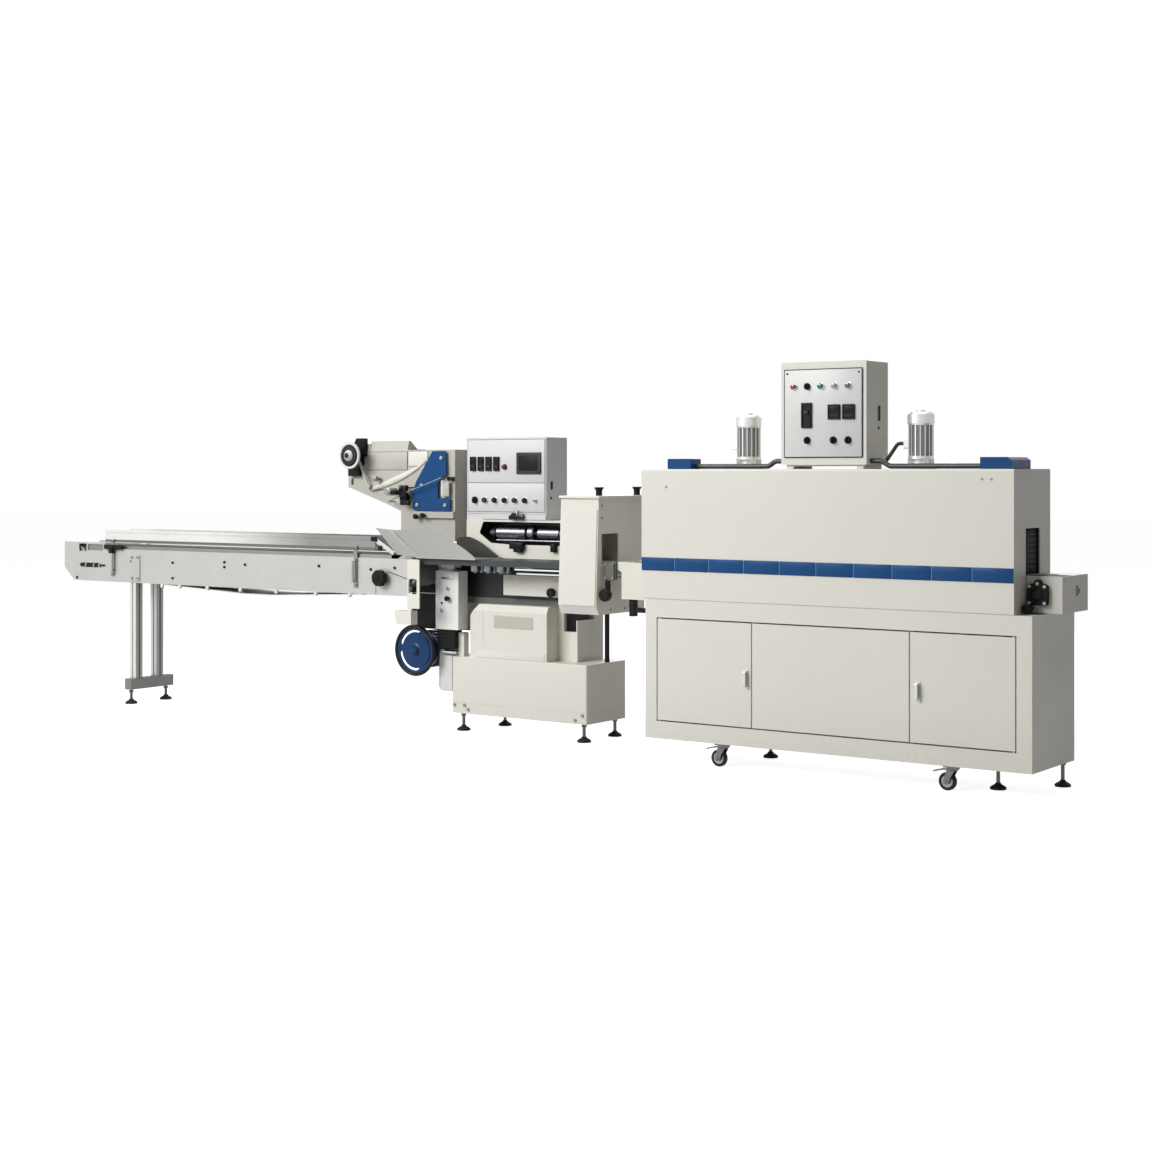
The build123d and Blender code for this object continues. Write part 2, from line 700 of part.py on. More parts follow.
def film_arm():
    """Tapered arm that carries the reel, its dancer link and the curved film guide."""
    lower = side_prism(
        [
            (-1022, 1219),
            (-1022, 1285),
            (-985, ARM_BOX_BOTTOM + 5),
            (COLUMN_NECK, ARM_BOX_BOTTOM + 5),
            (COLUMN_NECK, 1110),
            (COLUMN_LEFT, 1096),
            (-769, 1137),
        ],
        WALL_FRONT,
        ARM_BACK,
    )
    reel_plate = block(-965, ARM_BOX_LEFT, WALL_FRONT, WALL_FRONT + 30, ARM_BOX_BOTTOM, 1445)
    arm = lower + reel_plate + arm_box()
    arm -= through_y(Pos(-993, 1247) * Rot(0, 0, 90) * SlotOverall(36, 18), WALL_FRONT, WALL_FRONT + 15)
    # strut and dancer link meet at a boss on the arm's face
    boss_front = BRACKET_FRONT - 8
    arm += rod_y(PIVOT_X, PIVOT_Z, 14, boss_front, WALL_FRONT)
    strut = [(-928, 1356), (-914, 1356), (PIVOT_X + 7, PIVOT_Z), (PIVOT_X - 7, PIVOT_Z)]
    arm += side_prism(strut, boss_front, BRACKET_FRONT)
    link = Pos((PIVOT_X - 663) / 2, (PIVOT_Z + 1254) / 2) * Rot(0, 0, 8.5) * SlotOverall(220, 24)
    arm += through_y(link, WALL_FRONT - 8, WALL_FRONT)
    # thin guide sheet with a rolled upper edge, standing on the column's side of the arm
    edge = ThreePointArc((PIVOT_X, 1206), (-692, 1243), (-478, 1352))
    lower_edge = Polyline((-478, 1352), (-556, 1222), (PIVOT_X, 1206))
    arm += through_y(make_face(Curve() + [edge, lower_edge]), WALL_FRONT - 11, WALL_FRONT - 8)
    arm += through_y(Pos(-760, 1222) * Circle(8), WALL_FRONT - 11, WALL_FRONT)
    roll = Plane.XZ.offset(11 - WALL_FRONT) * edge
    arm += sweep(Plane(roll @ 0, z_dir=roll % 0) * Circle(7), path=roll)
    return arm


def reel_bracket():
    """Black clamp that holds the reel spindle, and the brake knob beside the dancer."""
    shape = [
        (-1003, 1277),
        (-1003, 1328),
        (-975, 1350),
        (-975, 1425),
        (-945, 1475),
        (-886, 1475),
        (-886, 1384),
        (-908, 1376),
        (-908, 1340),
        (-928, 1322),
        (-928, 1277),
    ]
    bore = rod_y(SPINDLE_X, SPINDLE_Z, SPINDLE_RADIUS + PIN_CLEARANCE, BRACKET_FRONT, WALL_FRONT)
    clamp = side_prism(shape, BRACKET_FRONT, WALL_FRONT, 5) - bore
    brake = lobed_knob(BRAKE_X, BRAKE_Z, 27, BRACKET_FRONT - 16, BRACKET_FRONT + 6, 6)
    brake += rod_y(BRAKE_X, BRAKE_Z, 16, BRACKET_FRONT + 6, WALL_FRONT)
    return Compound(children=[clamp, brake])


def film_spindle():
    """Reel shaft with a flange, a gripping ring and a pointed nose."""
    profile = [
        (0, REEL_FRONT - 26),
        (8, REEL_FRONT - 26),
        (20, REEL_FRONT - 18),
        (30, REEL_FRONT - 6),
        (50, REEL_FRONT - 5),
        (52, REEL_FRONT - 2),
        (52, REEL_FRONT),
        (REEL_RADIUS - 3, REEL_FRONT - 3),
        (REEL_RADIUS, REEL_FRONT),
        (REEL_RADIUS, REEL_FRONT + 9),
        (40, REEL_FRONT + 12),
        (SPINDLE_RADIUS + 6, REEL_FRONT + 18),
        (SPINDLE_RADIUS, REEL_FRONT + 24),
        (SPINDLE_RADIUS, WALL_FRONT - 1),
        (0, WALL_FRONT - 1),
    ]
    return turned_y(SPINDLE_X, SPINDLE_Z, profile)


def film_rollers():
    """Two film rollers with end collars, and the bent wire that leads the film across the guard plate."""
    rollers = []
    for x, z, radius, front in ((-800, 1262, 13, 0), (-651, 1196, 19, -66)):
        profile = [
            (0, front),
            (radius - 4, front),
            (radius - 4, front + 4),
            (radius, front + 5),
            (radius, WALL_FRONT - 22),
            (radius - 6, WALL_FRONT - 20),
            (radius - 6, WALL_FRONT),
            (0, WALL_FRONT),
        ]
        rollers.append(turned_y(x, z, profile))
    # the wire runs in front of the brake knob and ends on the guard plate
    y = BRACKET_FRONT - 26
    wire = bent_rod(
        [
            (-700, WALL_FRONT, 1146),
            (-700, y, 1146),
            (-560, y, 1200),
            (-440, y, 1238),
            (-350, y, 1268),
            (-350, GUARD_FRONT, 1268),
        ],
        8,
        3,
    )
    return Compound(children=rollers + [wire])


def film_guard_plate():
    """Blue cover plate on spacers in front of the column, with a notch for the film."""
    shape = [
        (-431, 1405),
        (-345, 1405),
        (-339, 1288),
        (-395, 1247),
        (-395, 1166),
        (-316, 1166),
        (-316, 1101),
        (-558, 1101),
        (-565, 1185),
        (-540, 1248),
    ]
    plate = side_prism(shape, GUARD_FRONT, GUARD_FRONT + GUARD_SHEET, 4)
    for x, z in ((-370, 1370), (-500, 1230), (-345, 1130), (-530, 1130)):
        plate += rod_y(x, z, 9, GUARD_FRONT + GUARD_SHEET, WALL_FRONT)
    return plate


def former_section(x, bottom, top):
    """Thin cross-section of a former wing at one X, between two (y, z) points."""
    (y0, z0), (y1, z1) = bottom, top
    points = [(x, y0, z0), (x, y0 + FORMER_SHEET, z0), (x, y1 + FORMER_SHEET, z1), (x, y1, z1)]
    return make_face(Polyline(*points, close=True))


def former_wing(stations):
    return loft([former_section(*station) for station in stations], ruled=False)


def bag_former():
    """Folded plough that turns the flat film into a tube round the product."""
    foot = DECK_TOP + FORMER_SHEET
    # the operator-side wing leans outwards and its free edge falls in a curve towards the jaws
    front_wing = former_wing(
        [
            (-334, (FORMER_FRONT, foot), (-262, 1011)),
            (-220, (FORMER_FRONT, foot), (-252, 1006)),
            (-70, (FORMER_FRONT, foot), (-226, 952)),
            (40, (FORMER_FRONT, foot), (FORMER_FRONT - 1, foot + 8)),
        ]
    )
    # gathering flap in front of the crease, flared further out
    flap = loft(
        [
            make_face(
                Polyline(
                    (-334, FORMER_FRONT, foot),
                    (-334, FORMER_FRONT + FORMER_SHEET, foot),
                    (-440, -266 + FORMER_SHEET, 1010),
                    (-440, -266, 1010),
                    close=True,
                )
            ),
            make_face(
                Polyline(
                    (-442, -225, 886),
                    (-442, -225 + FORMER_SHEET, 886),
                    (-519, -298 + FORMER_SHEET, 1019),
                    (-519, -298, 1019),
                    close=True,
                )
            ),
        ],
        ruled=True,
    )
    gusset = make_face(
        Polyline(
            (-334, FORMER_FRONT, foot),
            (-334, -262, 1011),
            (-440, -266, 1010),
            close=True,
        )
    )
    corner = extrude(gusset, FORMER_SHEET, dir=(0, 1, 0))
    floor = block(-334, 40, FORMER_FRONT, FORMER_BACK + FORMER_SHEET, DECK_TOP, foot)
    rear_wing = former_wing(
        [
            (-269, (FORMER_BACK, foot), (FORMER_BACK + 16, 960)),
            (-150, (FORMER_BACK, foot), (FORMER_BACK + 15, 961)),
            (-60, (FORMER_BACK, foot), (FORMER_BACK + 8, 914)),
            (0, (FORMER_BACK, foot), (FORMER_BACK + 1, foot + 8)),
        ]
    )
    return floor + front_wing + corner + flap + rear_wing


def drive_box():
    """Gear housing hung under the deck, with a front cover and a coupling above."""
    box = block(
        DRIVE_BOX_LEFT, DRIVE_BOX_RIGHT, DRIVE_BOX_FRONT, DRIVE_BOX_BACK, DRIVE_BOX_BOTTOM, DRIVE_BOX_TOP
    )
    box = rounded(box, Axis.Z, 4)
    middle = (DRIVE_BOX_LEFT + DRIVE_BOX_RIGHT) / 2
    left, right = middle - 40, middle + 40
    hanger = block(left, right, DRIVE_BOX_FRONT + 10, DRIVE_BOX_BACK - 10, DRIVE_BOX_TOP, DECK_BOTTOM)
    neck = (DRIVE_BOX_TOP + 6, DRIVE_BOX_TOP + 16)
    depth_middle = (DRIVE_BOX_FRONT + DRIVE_BOX_BACK) / 2
    around = block(left, right, DRIVE_BOX_FRONT, DRIVE_BOX_BACK, *neck)
    return box + hanger - (around - rod_z(middle, depth_middle, 26, *neck))


def drive_block():
    """Black gear block with cooling grooves."""
    body = rounded(block(-325, -215, -50, 10, 414, DRIVE_BOX_BOTTOM), Axis.Y, 5)
    for z in range(430, 500, 16):
        body -= block(-325, -215, -50, -46, z, z + 6)
    return body


def drive_brackets():
    """Brackets of the drive block and of the main motor on the base."""
    upright = rounded(block(-215, -180, BASE_FRONT, 20, BASE_TOP, 494), Axis.Y, 6)
    upright += block(-215, -180, BASE_FRONT, 20, BASE_TOP, BASE_TOP + 20)
    arm = block(MOTOR_BRACKET_X, BASE_LEFT, 80, 140, MOTOR_Z - 65, BASE_TOP)
    return Compound(children=[upright, arm])


def drive_tubes():
    """Steel tube from the drive bracket down to the side box."""
    x, top, bottom = SIDE_BOX_LEFT - 13, 396, 208
    return bent_rod([(-215, 0, top), (x, 0, top), (x, 0, bottom), (SIDE_BOX_LEFT, 0, bottom)], 10, 8)


def side_box():
    return rounded(block(SIDE_BOX_LEFT, BASE_LEFT, BASE_FRONT, 60, 195, 380), Axis.X, 5)


def main_motor():
    """Finned main motor with a domed front and the gear case that bolts to its bracket."""
    core = MOTOR_RADIUS - 9
    profile = [
        (0, MOTOR_FRONT),
        (core - 57, MOTOR_FRONT),
        (core - 32, MOTOR_FRONT + 5),
        (core - 15, MOTOR_FRONT + 13),
        (core - 3, MOTOR_FRONT + 25),
        (core + 4, MOTOR_FRONT + 40),
        (core + 4, MOTOR_FRONT + 56),
        (core, MOTOR_FRONT + 58),
        (core, MOTOR_BACK - 30),
        (core + 6, MOTOR_BACK - 28),
        (core + 6, MOTOR_BACK - 8),
        (core - 8, MOTOR_BACK),
        (0, MOTOR_BACK),
    ]
    motor = turned_y(MOTOR_X, MOTOR_Z, profile)
    fin = block(core - 3, MOTOR_RADIUS, MOTOR_FRONT + 60, MOTOR_BACK - 34, -2, 2)
    for index in range(MOTOR_FINS):
        motor += Pos(MOTOR_X, 0, MOTOR_Z) * Rot(0, 360 / MOTOR_FINS * index, 0) * fin
    motor += block(MOTOR_X, MOTOR_BRACKET_X, 70, MOTOR_BACK - 8, MOTOR_Z - 65, MOTOR_Z + 65)
    return motor - rod_y(MOTOR_X, MOTOR_Z, WHEEL_SHAFT + PIN_CLEARANCE, MOTOR_FRONT, MOTOR_FRONT + 40)


def handwheel():
    """Thin round rim on a dished web with three kidney openings."""
    rim = Pos(MOTOR_X, WHEEL_Y, MOTOR_Z) * Rot(90, 0, 0) * Torus(WHEEL_RADIUS, WHEEL_RIM)
    dish = turned_y(
        MOTOR_X,
        MOTOR_Z,
        [
            (18, WHEEL_Y - 4),
            (50, WHEEL_Y + 8),
            (84, WHEEL_Y + 4),
            (WHEEL_RADIUS - 3, WHEEL_Y - 3),
            (WHEEL_RADIUS - 3, WHEEL_Y + 4),
            (84, WHEEL_Y + 11),
            (50, WHEEL_Y + 15),
            (18, WHEEL_Y + 6),
        ],
    )
    for start in (-45, 75, 195):
        opening = SlotArc(CenterArc((0, 0), 83, start, 80), 38)
        dish -= through_y(Pos(MOTOR_X, MOTOR_Z) * opening, WHEEL_Y - 30, WHEEL_Y + 30)
    hub = turned_y(
        MOTOR_X,
        MOTOR_Z,
        [(0, WHEEL_Y - 16), (16, WHEEL_Y - 16), (24, WHEEL_Y - 8), (26, WHEEL_Y + 18), (0, WHEEL_Y + 18)],
    )
    shaft = rod_y(MOTOR_X, MOTOR_Z, WHEEL_SHAFT, WHEEL_Y, MOTOR_FRONT + 35)
    return rim + dish + hub + shaft


def jaw_housing():
    """Sheet housing of the cross-sealing jaws, open along the product's path."""
    outer = block(JAW_LEFT, JAW_RIGHT, JAW_FRONT + PLATE, JAW_BACK, JAW_BOTTOM, JAW_TOP)
    hollow = block(
        JAW_LEFT + PLATE, JAW_RIGHT - PLATE, JAW_FRONT + PLATE, JAW_BACK - PLATE, DECK_TOP, JAW_TOP
    )
    passage = block(JAW_LEFT, JAW_RIGHT, PATH_FRONT, PATH_BACK, DECK_TOP, JAW_PASSAGE_TOP)
    inset = block(JAW_RIGHT - 2, JAW_RIGHT, -120, JAW_BACK - 8, DECK_TOP + 22, 1109)
    return outer - hollow - passage - inset


def jaw_cover():
    """Front cover that leans out towards a tucked-in foot, with a raised door panel."""
    back = JAW_FRONT + PLATE
    foot = JAW_FRONT - JAW_LEAN

    def front_at(z):
        return foot + JAW_LEAN * (z - JAW_BOTTOM) / (JAW_TOP - JAW_BOTTOM)

    low, high = JAW_BOTTOM + JAW_TUCK, JAW_TOP - 54
    low_y, high_y = front_at(low), front_at(high)
    wedge = [(back, JAW_BOTTOM), (back, JAW_TOP), (JAW_FRONT, JAW_TOP), (low_y, low), (JAW_FRONT, JAW_BOTTOM)]
    cover = end_prism(wedge, JAW_LEFT, JAW_RIGHT)
    panel = [(low_y, low), (high_y, high), (high_y - PANEL_DOOR_SHEET, high), (low_y - PANEL_DOOR_SHEET, low)]
    return cover + end_prism(panel, JAW_LEFT + 22, JAW_RIGHT - 6)


def jaw_cap():
    """Overhanging lid with rounded corners."""
    lid = block(JAW_LEFT - 10, JAW_RIGHT + 10, JAW_FRONT - 10, JAW_BACK + 10, JAW_TOP, JAW_TOP + 12)
    return fillet(rounded(lid, Axis.Z, 8).faces().sort_by(Axis.Z)[-1].edges(), 4)


def jaw_knobs():
    """Flared clamp knobs on the lid."""
    top = JAW_TOP + 12
    heights = ((17, 0), (15, 6), (15, 24), (22, 36), (22, 40), (0, 40))
    profile = [(0, top)] + [(radius, top + height) for radius, height in heights]
    knob_ys = (JAW_FRONT + 45, JAW_BACK - 18)
    return Compound(children=[turned_z(JAW_RIGHT - 30, y, profile) for y in knob_ys])


def jaw_post():
    return rod_z(JAW_LEFT + 10, JAW_BACK - 15, 12, BASE_TOP, JAW_BOTTOM)


def outfeed_bridge():
    return block(JAW_RIGHT, CONVEYOR_LEFT, CONVEYOR_FRONT, CONVEYOR_BACK, DECK_BOTTOM - 1, DECK_TOP)


def outfeed_gearbox():
    """Gear case on the near side of the outfeed bridge."""
    face = CONVEYOR_FRONT - 12
    case = Pos(815, 840) * RectangleRounded(64, 88, 6)
    cover = Pos(815, 840) * RectangleRounded(50, 70, 5)
    return through_y(case, face, CONVEYOR_FRONT) + through_y(cover, face - 6, face)


def outfeed_fittings():
    """Black drive wheel, brackets and bearing of the conveyor from the jaws to the exit."""
    face = CONVEYOR_FRONT
    hanger = side_prism([(788, 796), (812, 796), (812, 716), (800, 704), (788, 716)], face - 12, face - 2, 3)
    tyre = [(0, 40), (22, 40), (30, 35), (30, 17), (22, 12), (0, 12)]
    hanger += turned_y(800, 728, [(radius, face - reach) for radius, reach in tyre])
    leg = block(905, 931, -150, -118, 632, ENTRY_BOTTOM) + block(931, 1004, -146, -122, 650, 672)
    gear_lump = rounded(block(372, 430, 100, 200, POCKET_BOTTOM, 630), Axis.Y, 8)
    deck_knob = lobed_knob(364, 714, 22, PEDESTAL_FRONT - 30, PEDESTAL_FRONT - 10, 6)
    deck_knob += rod_y(364, 714, 9, PEDESTAL_FRONT - 10, PEDESTAL_FRONT)
    # flanged exit bearing with an upper boss, and the tracking knob beside it
    housing = Pos(2895, 808) * RectangleRounded(84, 86, 12)
    bearing = through_y(housing, face - 22, face) + rod_y(2895, 852, 16, face - 18, face)
    bearing += turned_y(2895, 808, [(0, face - 36), (16, face - 36), (26, face - 22), (0, face - 22)])
    tracking = lobed_knob(2866, 752, 19, face - 70, face - 36, 8)
    tracking += rod_y(2866, 752, 7, face - 36, face)
    return Compound(children=[hanger, leg, gear_lump, deck_knob, bearing, tracking])


# Shrink tunnel


def cabinet_wrap():
    """Left side, back and right side bent from one sheet."""
    front = CABINET_FRONT + FRAME_DEPTH
    outer = block(CABINET_LEFT, CABINET_RIGHT, front, CABINET_BACK, CABINET_BOTTOM, CABINET_TOP)
    inner = block(
        CABINET_LEFT + CABINET_SHEET,
        CABINET_RIGHT - CABINET_SHEET,
        front,
        CABINET_BACK - CABINET_SHEET,
        CABINET_BOTTOM,
        CABINET_TOP,
    )
    return outer - inner


def cabinet_shelf(bottom):
    return block(
        CABINET_LEFT + CABINET_SHEET,
        CABINET_RIGHT - CABINET_SHEET,
        CABINET_FRONT + 2 * FRAME_DEPTH,
        CABINET_BACK - CABINET_SHEET,
        bottom,
        bottom + CABINET_SHEET,
    )


def cabinet_floor_and_top():
    shelves = [cabinet_shelf(bottom) for bottom in (CABINET_BOTTOM, CABINET_TOP - CABINET_SHEET)]
    return Compound(children=shelves)


def hinge_xs():
    return (DOOR_LEFT + DOOR_PIN_INSET, DOOR_RIGHT - DOOR_PIN_INSET)


def hinge_pins(x, radius):
    y = CABINET_FRONT + DOOR_THICKNESS / 2
    lower = rod_z(x, y, radius, DOOR_BOTTOM - DOOR_PIN_LENGTH, DOOR_BOTTOM)
    upper = rod_z(x, y, radius, DOOR_TOP, DOOR_TOP + DOOR_PIN_LENGTH)
    return lower, upper


def cabinet_front():
    """Front frame round the doors, with the sockets of their hinge pins."""
    back = CABINET_FRONT + FRAME_DEPTH
    frame = block(CABINET_LEFT, CABINET_RIGHT, CABINET_FRONT, back, CABINET_BOTTOM, CABINET_TOP)
    frame -= block(
        DOOR_LEFT - DOOR_GAP,
        DOOR_RIGHT + DOOR_GAP,
        CABINET_FRONT,
        back,
        DOOR_BOTTOM - DOOR_GAP,
        DOOR_TOP + DOOR_GAP,
    )
    for x in hinge_xs():
        for pin in hinge_pins(x, DOOR_PIN_RADIUS + PIN_CLEARANCE):
            frame -= pin
    # uprights behind the seams, which the middle panel is screwed to
    for x in (LEFT_SEAM, RIGHT_SEAM):
        bottom, top = CABINET_BOTTOM + CABINET_SHEET, CABINET_TOP - CABINET_SHEET
        frame += block(x - MULLION_WIDTH / 2, x + MULLION_WIDTH / 2, back, back + FRAME_DEPTH, bottom, top)
    return frame


def middle_panel():
    back = CABINET_FRONT + FRAME_DEPTH
    return block(LEFT_SEAM + 3, RIGHT_SEAM - 3, CABINET_FRONT, back, DOOR_BOTTOM, DOOR_TOP)


def door_handle(x):
    """Slim pull with a finger gap, standing on a rounded base plate."""
    plate_face = CABINET_FRONT - 3
    middle = Pos(x, (HANDLE_BOTTOM + HANDLE_TOP) / 2)
    plate = middle * RectangleRounded(HANDLE_WIDTH, HANDLE_TOP - HANDLE_BOTTOM, 5)
    pull = rounded(block(x - 6, x + 6, FRONT, plate_face, HANDLE_BOTTOM + 8, HANDLE_TOP - 8), Axis.X, 5)
    gap = block(x - 6, x + 6, FRONT + 8, plate_face, HANDLE_BOTTOM + 20, HANDLE_TOP - 20)
    return through_y(plate, plate_face, CABINET_FRONT) + (pull - gap)


def door(left, right, hinge_x, handle_x):
    """Flat door leaf with its hinge pins and handle."""
    leaf = block(left, right, CABINET_FRONT, CABINET_FRONT + DOOR_THICKNESS, DOOR_BOTTOM, DOOR_TOP)
    leaf += door_handle(handle_x)
    for pin in hinge_pins(hinge_x, DOOR_PIN_RADIUS):
        leaf += pin
    return leaf


def left_door():
    return door(DOOR_LEFT, LEFT_SEAM - 3, hinge_xs()[0], 1615)


def right_door():
    return door(RIGHT_SEAM + 3, DOOR_RIGHT, hinge_xs()[1], 2428)


def hood_shape(left, right):
    """Outer form of the hood, with bent upper edges and a shadow gap along the cabinet."""
    form = block(left, right, CABINET_FRONT, HOOD_BACK, CABINET_TOP, HOOD_TOP)
    form -= block(left, right, CABINET_FRONT, CABINET_FRONT + 4, CABINET_TOP, CABINET_TOP + SEAM_WIDTH)
    return fillet(form.edges().filter_by(Axis.X).group_by(Axis.Z)[-1], HOOD_BEND)


def hood_cover():
    """Insulated front, roof and back of the hot chamber."""
    left, right = HOOD_LEFT + HOOD_END, HOOD_RIGHT - HOOD_END
    inner = block(
        left, right, CABINET_FRONT + HOOD_WALL, HOOD_BACK - HOOD_WALL, CABINET_TOP, HOOD_TOP - HOOD_WALL
    )
    return hood_shape(left, right) - inner


def hood_ends():
    """End plates, each open where the product passes."""
    ends = []
    for left in (HOOD_LEFT, HOOD_RIGHT - HOOD_END):
        right = left + HOOD_END
        opening = block(left, right, PATH_FRONT - 3, PATH_BACK + 7, CABINET_TOP, PASSAGE_TOP)
        ends.append(hood_shape(left, right) - opening)
    return Compound(children=ends)


def hood_stripe():
    return block(HOOD_LEFT, HOOD_RIGHT, CABINET_FRONT - 3, CABINET_FRONT, STRIPE_BOTTOM, STRIPE_TOP)


def tunnel_conveyor():
    """Trough of the tunnel belt with its entry box, slanted at the jaws, and its exit box."""
    top = BELT_TOP - BELT_THICKNESS + 1
    entry = [
        (CONVEYOR_LEFT, top),
        (CONVEYOR_LEFT, DECK_BOTTOM - 4),
        (CONVEYOR_LEFT + ENTRY_SLANT, DECK_BOTTOM - 20),
        (CONVEYOR_LEFT + ENTRY_SLANT, ENTRY_BOTTOM),
        (HOOD_LEFT, ENTRY_BOTTOM),
        (HOOD_LEFT, top),
    ]
    frame = side_prism(entry, CONVEYOR_FRONT, 60)
    frame += block(HOOD_LEFT, HOOD_RIGHT, CONVEYOR_FRONT, CONVEYOR_BACK, CABINET_TOP, top)
    frame += block(HOOD_RIGHT, RIGHT, CONVEYOR_FRONT, EXIT_BOX_BACK, CONVEYOR_BOTTOM, top)
    frame -= block(
        CONVEYOR_LEFT + ENTRY_SLANT + PLATE,
        RIGHT - PLATE,
        CONVEYOR_FRONT + 8,
        CONVEYOR_BACK - 8,
        CONVEYOR_BOTTOM + PLATE,
        top,
    )
    return frame


def tunnel_belt():
    bottom = CONVEYOR_BOTTOM + PLATE
    radius = (BELT_TOP - bottom) / 2
    return belt_loop(
        CONVEYOR_LEFT + ENTRY_SLANT + PLATE + radius + 3,
        RIGHT - PLATE - radius - 3,
        bottom,
        BELT_TOP,
        CONVEYOR_FRONT + 11,
        CONVEYOR_BACK - 11,
    )


def tunnel_control_box():
    """Electrical box of the tunnel on a slotted plinth, with a raised door."""
    floor = HOOD_TOP + BOX_PLINTH
    plinth_depth = (BOX_FRONT + 16, BOX_BACK - 19)
    plinth = block(BOX_LEFT + 20, BOX_RIGHT - 20, *plinth_depth, HOOD_TOP, floor)
    plinth -= block(BOX_LEFT + 52, BOX_RIGHT - 52, *plinth_depth, HOOD_TOP, floor - 6)
    body = rounded(block(BOX_LEFT, BOX_RIGHT, BOX_FRONT + 4, BOX_BACK, floor, BOX_TOP), Axis.Y, 6)
    door_middle = Pos((BOX_LEFT + BOX_RIGHT) / 2, 1549)
    door_plate = door_middle * RectangleRounded(366, 370, 10)
    return plinth + body + through_y(door_plate, BOX_FRONT, BOX_FRONT + 4)


def tunnel_controls():
    """Lamps, breaker, temperature displays and knobs on the tunnel's control box."""
    pieces = [push_button(1840 + 65 * index, 1664, BOX_FRONT, 14, 18) for index in range(5)]
    pieces += [lobed_knob(x, 1434, 14, BOX_FRONT - 20, BOX_FRONT, 6) for x in (1905, 2030, 2099)]
    pieces.append(framed_screen(1879, 1927, 1487, 1594, BOX_FRONT, 8, 5))
    for left in (2006, 2075):
        pieces.append(framed_screen(left, left + 56, 1523, 1585, BOX_FRONT, 8, 5))
    return Compound(children=pieces)


def fan_motor(x):
    """Upright fan motor: flange, open lantern, ribbed body with a connection box, cowl and shaft cap."""
    z = HOOD_TOP
    profile = [
        (0, z),
        (62, z),
        (62, z + 12),
        (34, z + 12),
        (34, z + 40),
        (54, z + 42),
        (54, z + 54),
        (46, z + 56),
        (46, z + 182),
        (54, z + 184),
        (57, z + 192),
        (57, z + 230),
        (50, z + 238),
        (20, z + 240),
        (18, z + 248),
        (0, z + 248),
    ]
    motor = turned_z(x, FAN_Y, profile)
    rib = block(44, 53, -2, 2, z + 50, z + 186)
    for index in range(FAN_RIBS):
        motor += Pos(x, FAN_Y, 0) * Rot(0, 0, 360 / FAN_RIBS * index) * rib
    motor += Pos(x, FAN_Y, 0) * rounded(block(-FAN_BOX, -40, -17, 17, z + 86, z + 130), Axis.X, 4)
    leg = block(30, 56, -6, 6, z + 8, z + 46)
    for index in range(4):
        motor += Pos(x, FAN_Y, 0) * Rot(0, 0, 45 + 90 * index) * leg
    return motor


def fan_motors():
    return Compound(children=[fan_motor(x) for x in FAN_XS])


def terminal_boxes():
    """Blue terminal boxes at the hood's front corners, the right one with a sloping end."""
    left = rounded(block(1197, 1318, BOX_FRONT, -189, HOOD_TOP, HOOD_TOP + 46), Axis.Y, 4)
    right = side_prism(
        [
            (2691, HOOD_TOP),
            (2691, HOOD_TOP + 48),
            (2808, HOOD_TOP + 48),
            (2825, HOOD_TOP + 36),
            (2825, HOOD_TOP),
        ],
        BOX_FRONT,
        -78,
        3,
    )
    return Compound(children=[left, right])


def roof_conduits():
    """Black conduits from the control box to the terminal boxes and to the right fan motor."""
    low, high = HOOD_TOP + 12, HOOD_TOP + 34
    y = -230
    left = bent_rod([(1318, y, low), (1690, y, low), (1724, y, high), (BOX_LEFT, y, high)], 30, 11)
    right = bent_rod([(BOX_RIGHT, y, high), (2234, y, high), (2268, y, low), (2691, y, low)], 30, 11)
    branch_z = HOOD_TOP + 108
    branch_end = FAN_XS[1] - FAN_BOX
    branch_path = [
        (BOX_RIGHT, -150, high),
        (2214, -150, high),
        (2246, FAN_Y, branch_z),
        (branch_end, FAN_Y, branch_z),
    ]
    branch = bent_rod(branch_path, 18, 8)
    return Compound(children=[left, right, branch])


# Casters


def caster_plates():
    """Top plates with rounded corners and the bore of the kingpin."""
    plates = []
    for x in CASTER_XS:
        plate = block(x - 34, x + 34, CASTER_Y - 34, CASTER_Y + 34, CABINET_BOTTOM - 8, CABINET_BOTTOM)
        bore = rod_z(x, CASTER_Y, KINGPIN_RADIUS + PIN_CLEARANCE, CABINET_BOTTOM - 8, CABINET_BOTTOM)
        plates.append(rounded(plate, Axis.Z, 8) - bore)
    return Compound(children=plates)


def caster_fork(x):
    """Swivel crown, two cheeks, axle and brake pedal."""
    axle_x, axle_z = x - CASTER_TRAIL, CASTER_WHEEL_RADIUS
    crown_top = CABINET_BOTTOM - 9
    fork = turned_z(
        x,
        CASTER_Y,
        [
            (0, crown_top - 12),
            (20, crown_top - 12),
            (26, crown_top - 7),
            (26, crown_top),
            (KINGPIN_RADIUS, crown_top),
            (KINGPIN_RADIUS, CABINET_BOTTOM),
            (0, CABINET_BOTTOM),
        ],
    )
    cheek = [(x + 18, crown_top), (x - 18, crown_top), (axle_x - 12, axle_z), (axle_x + 12, axle_z)]
    for y in (CASTER_Y - 21, CASTER_Y + 17):
        fork += side_prism(cheek, y, y + 4)
        fork += rod_y(axle_x, axle_z, 13, y, y + 4)
    fork += rod_y(axle_x, axle_z, CASTER_AXLE_RADIUS, CASTER_Y - 24, CASTER_Y + 24)
    pedal = [
        (axle_x - 62, 72),
        (axle_x - 60, 79),
        (axle_x - 26, 87),
        (axle_x + 6, 90),
        (axle_x + 6, 85),
        (axle_x - 28, 81),
    ]
    return fork + side_prism(pedal, CASTER_Y - 11, CASTER_Y + 11)


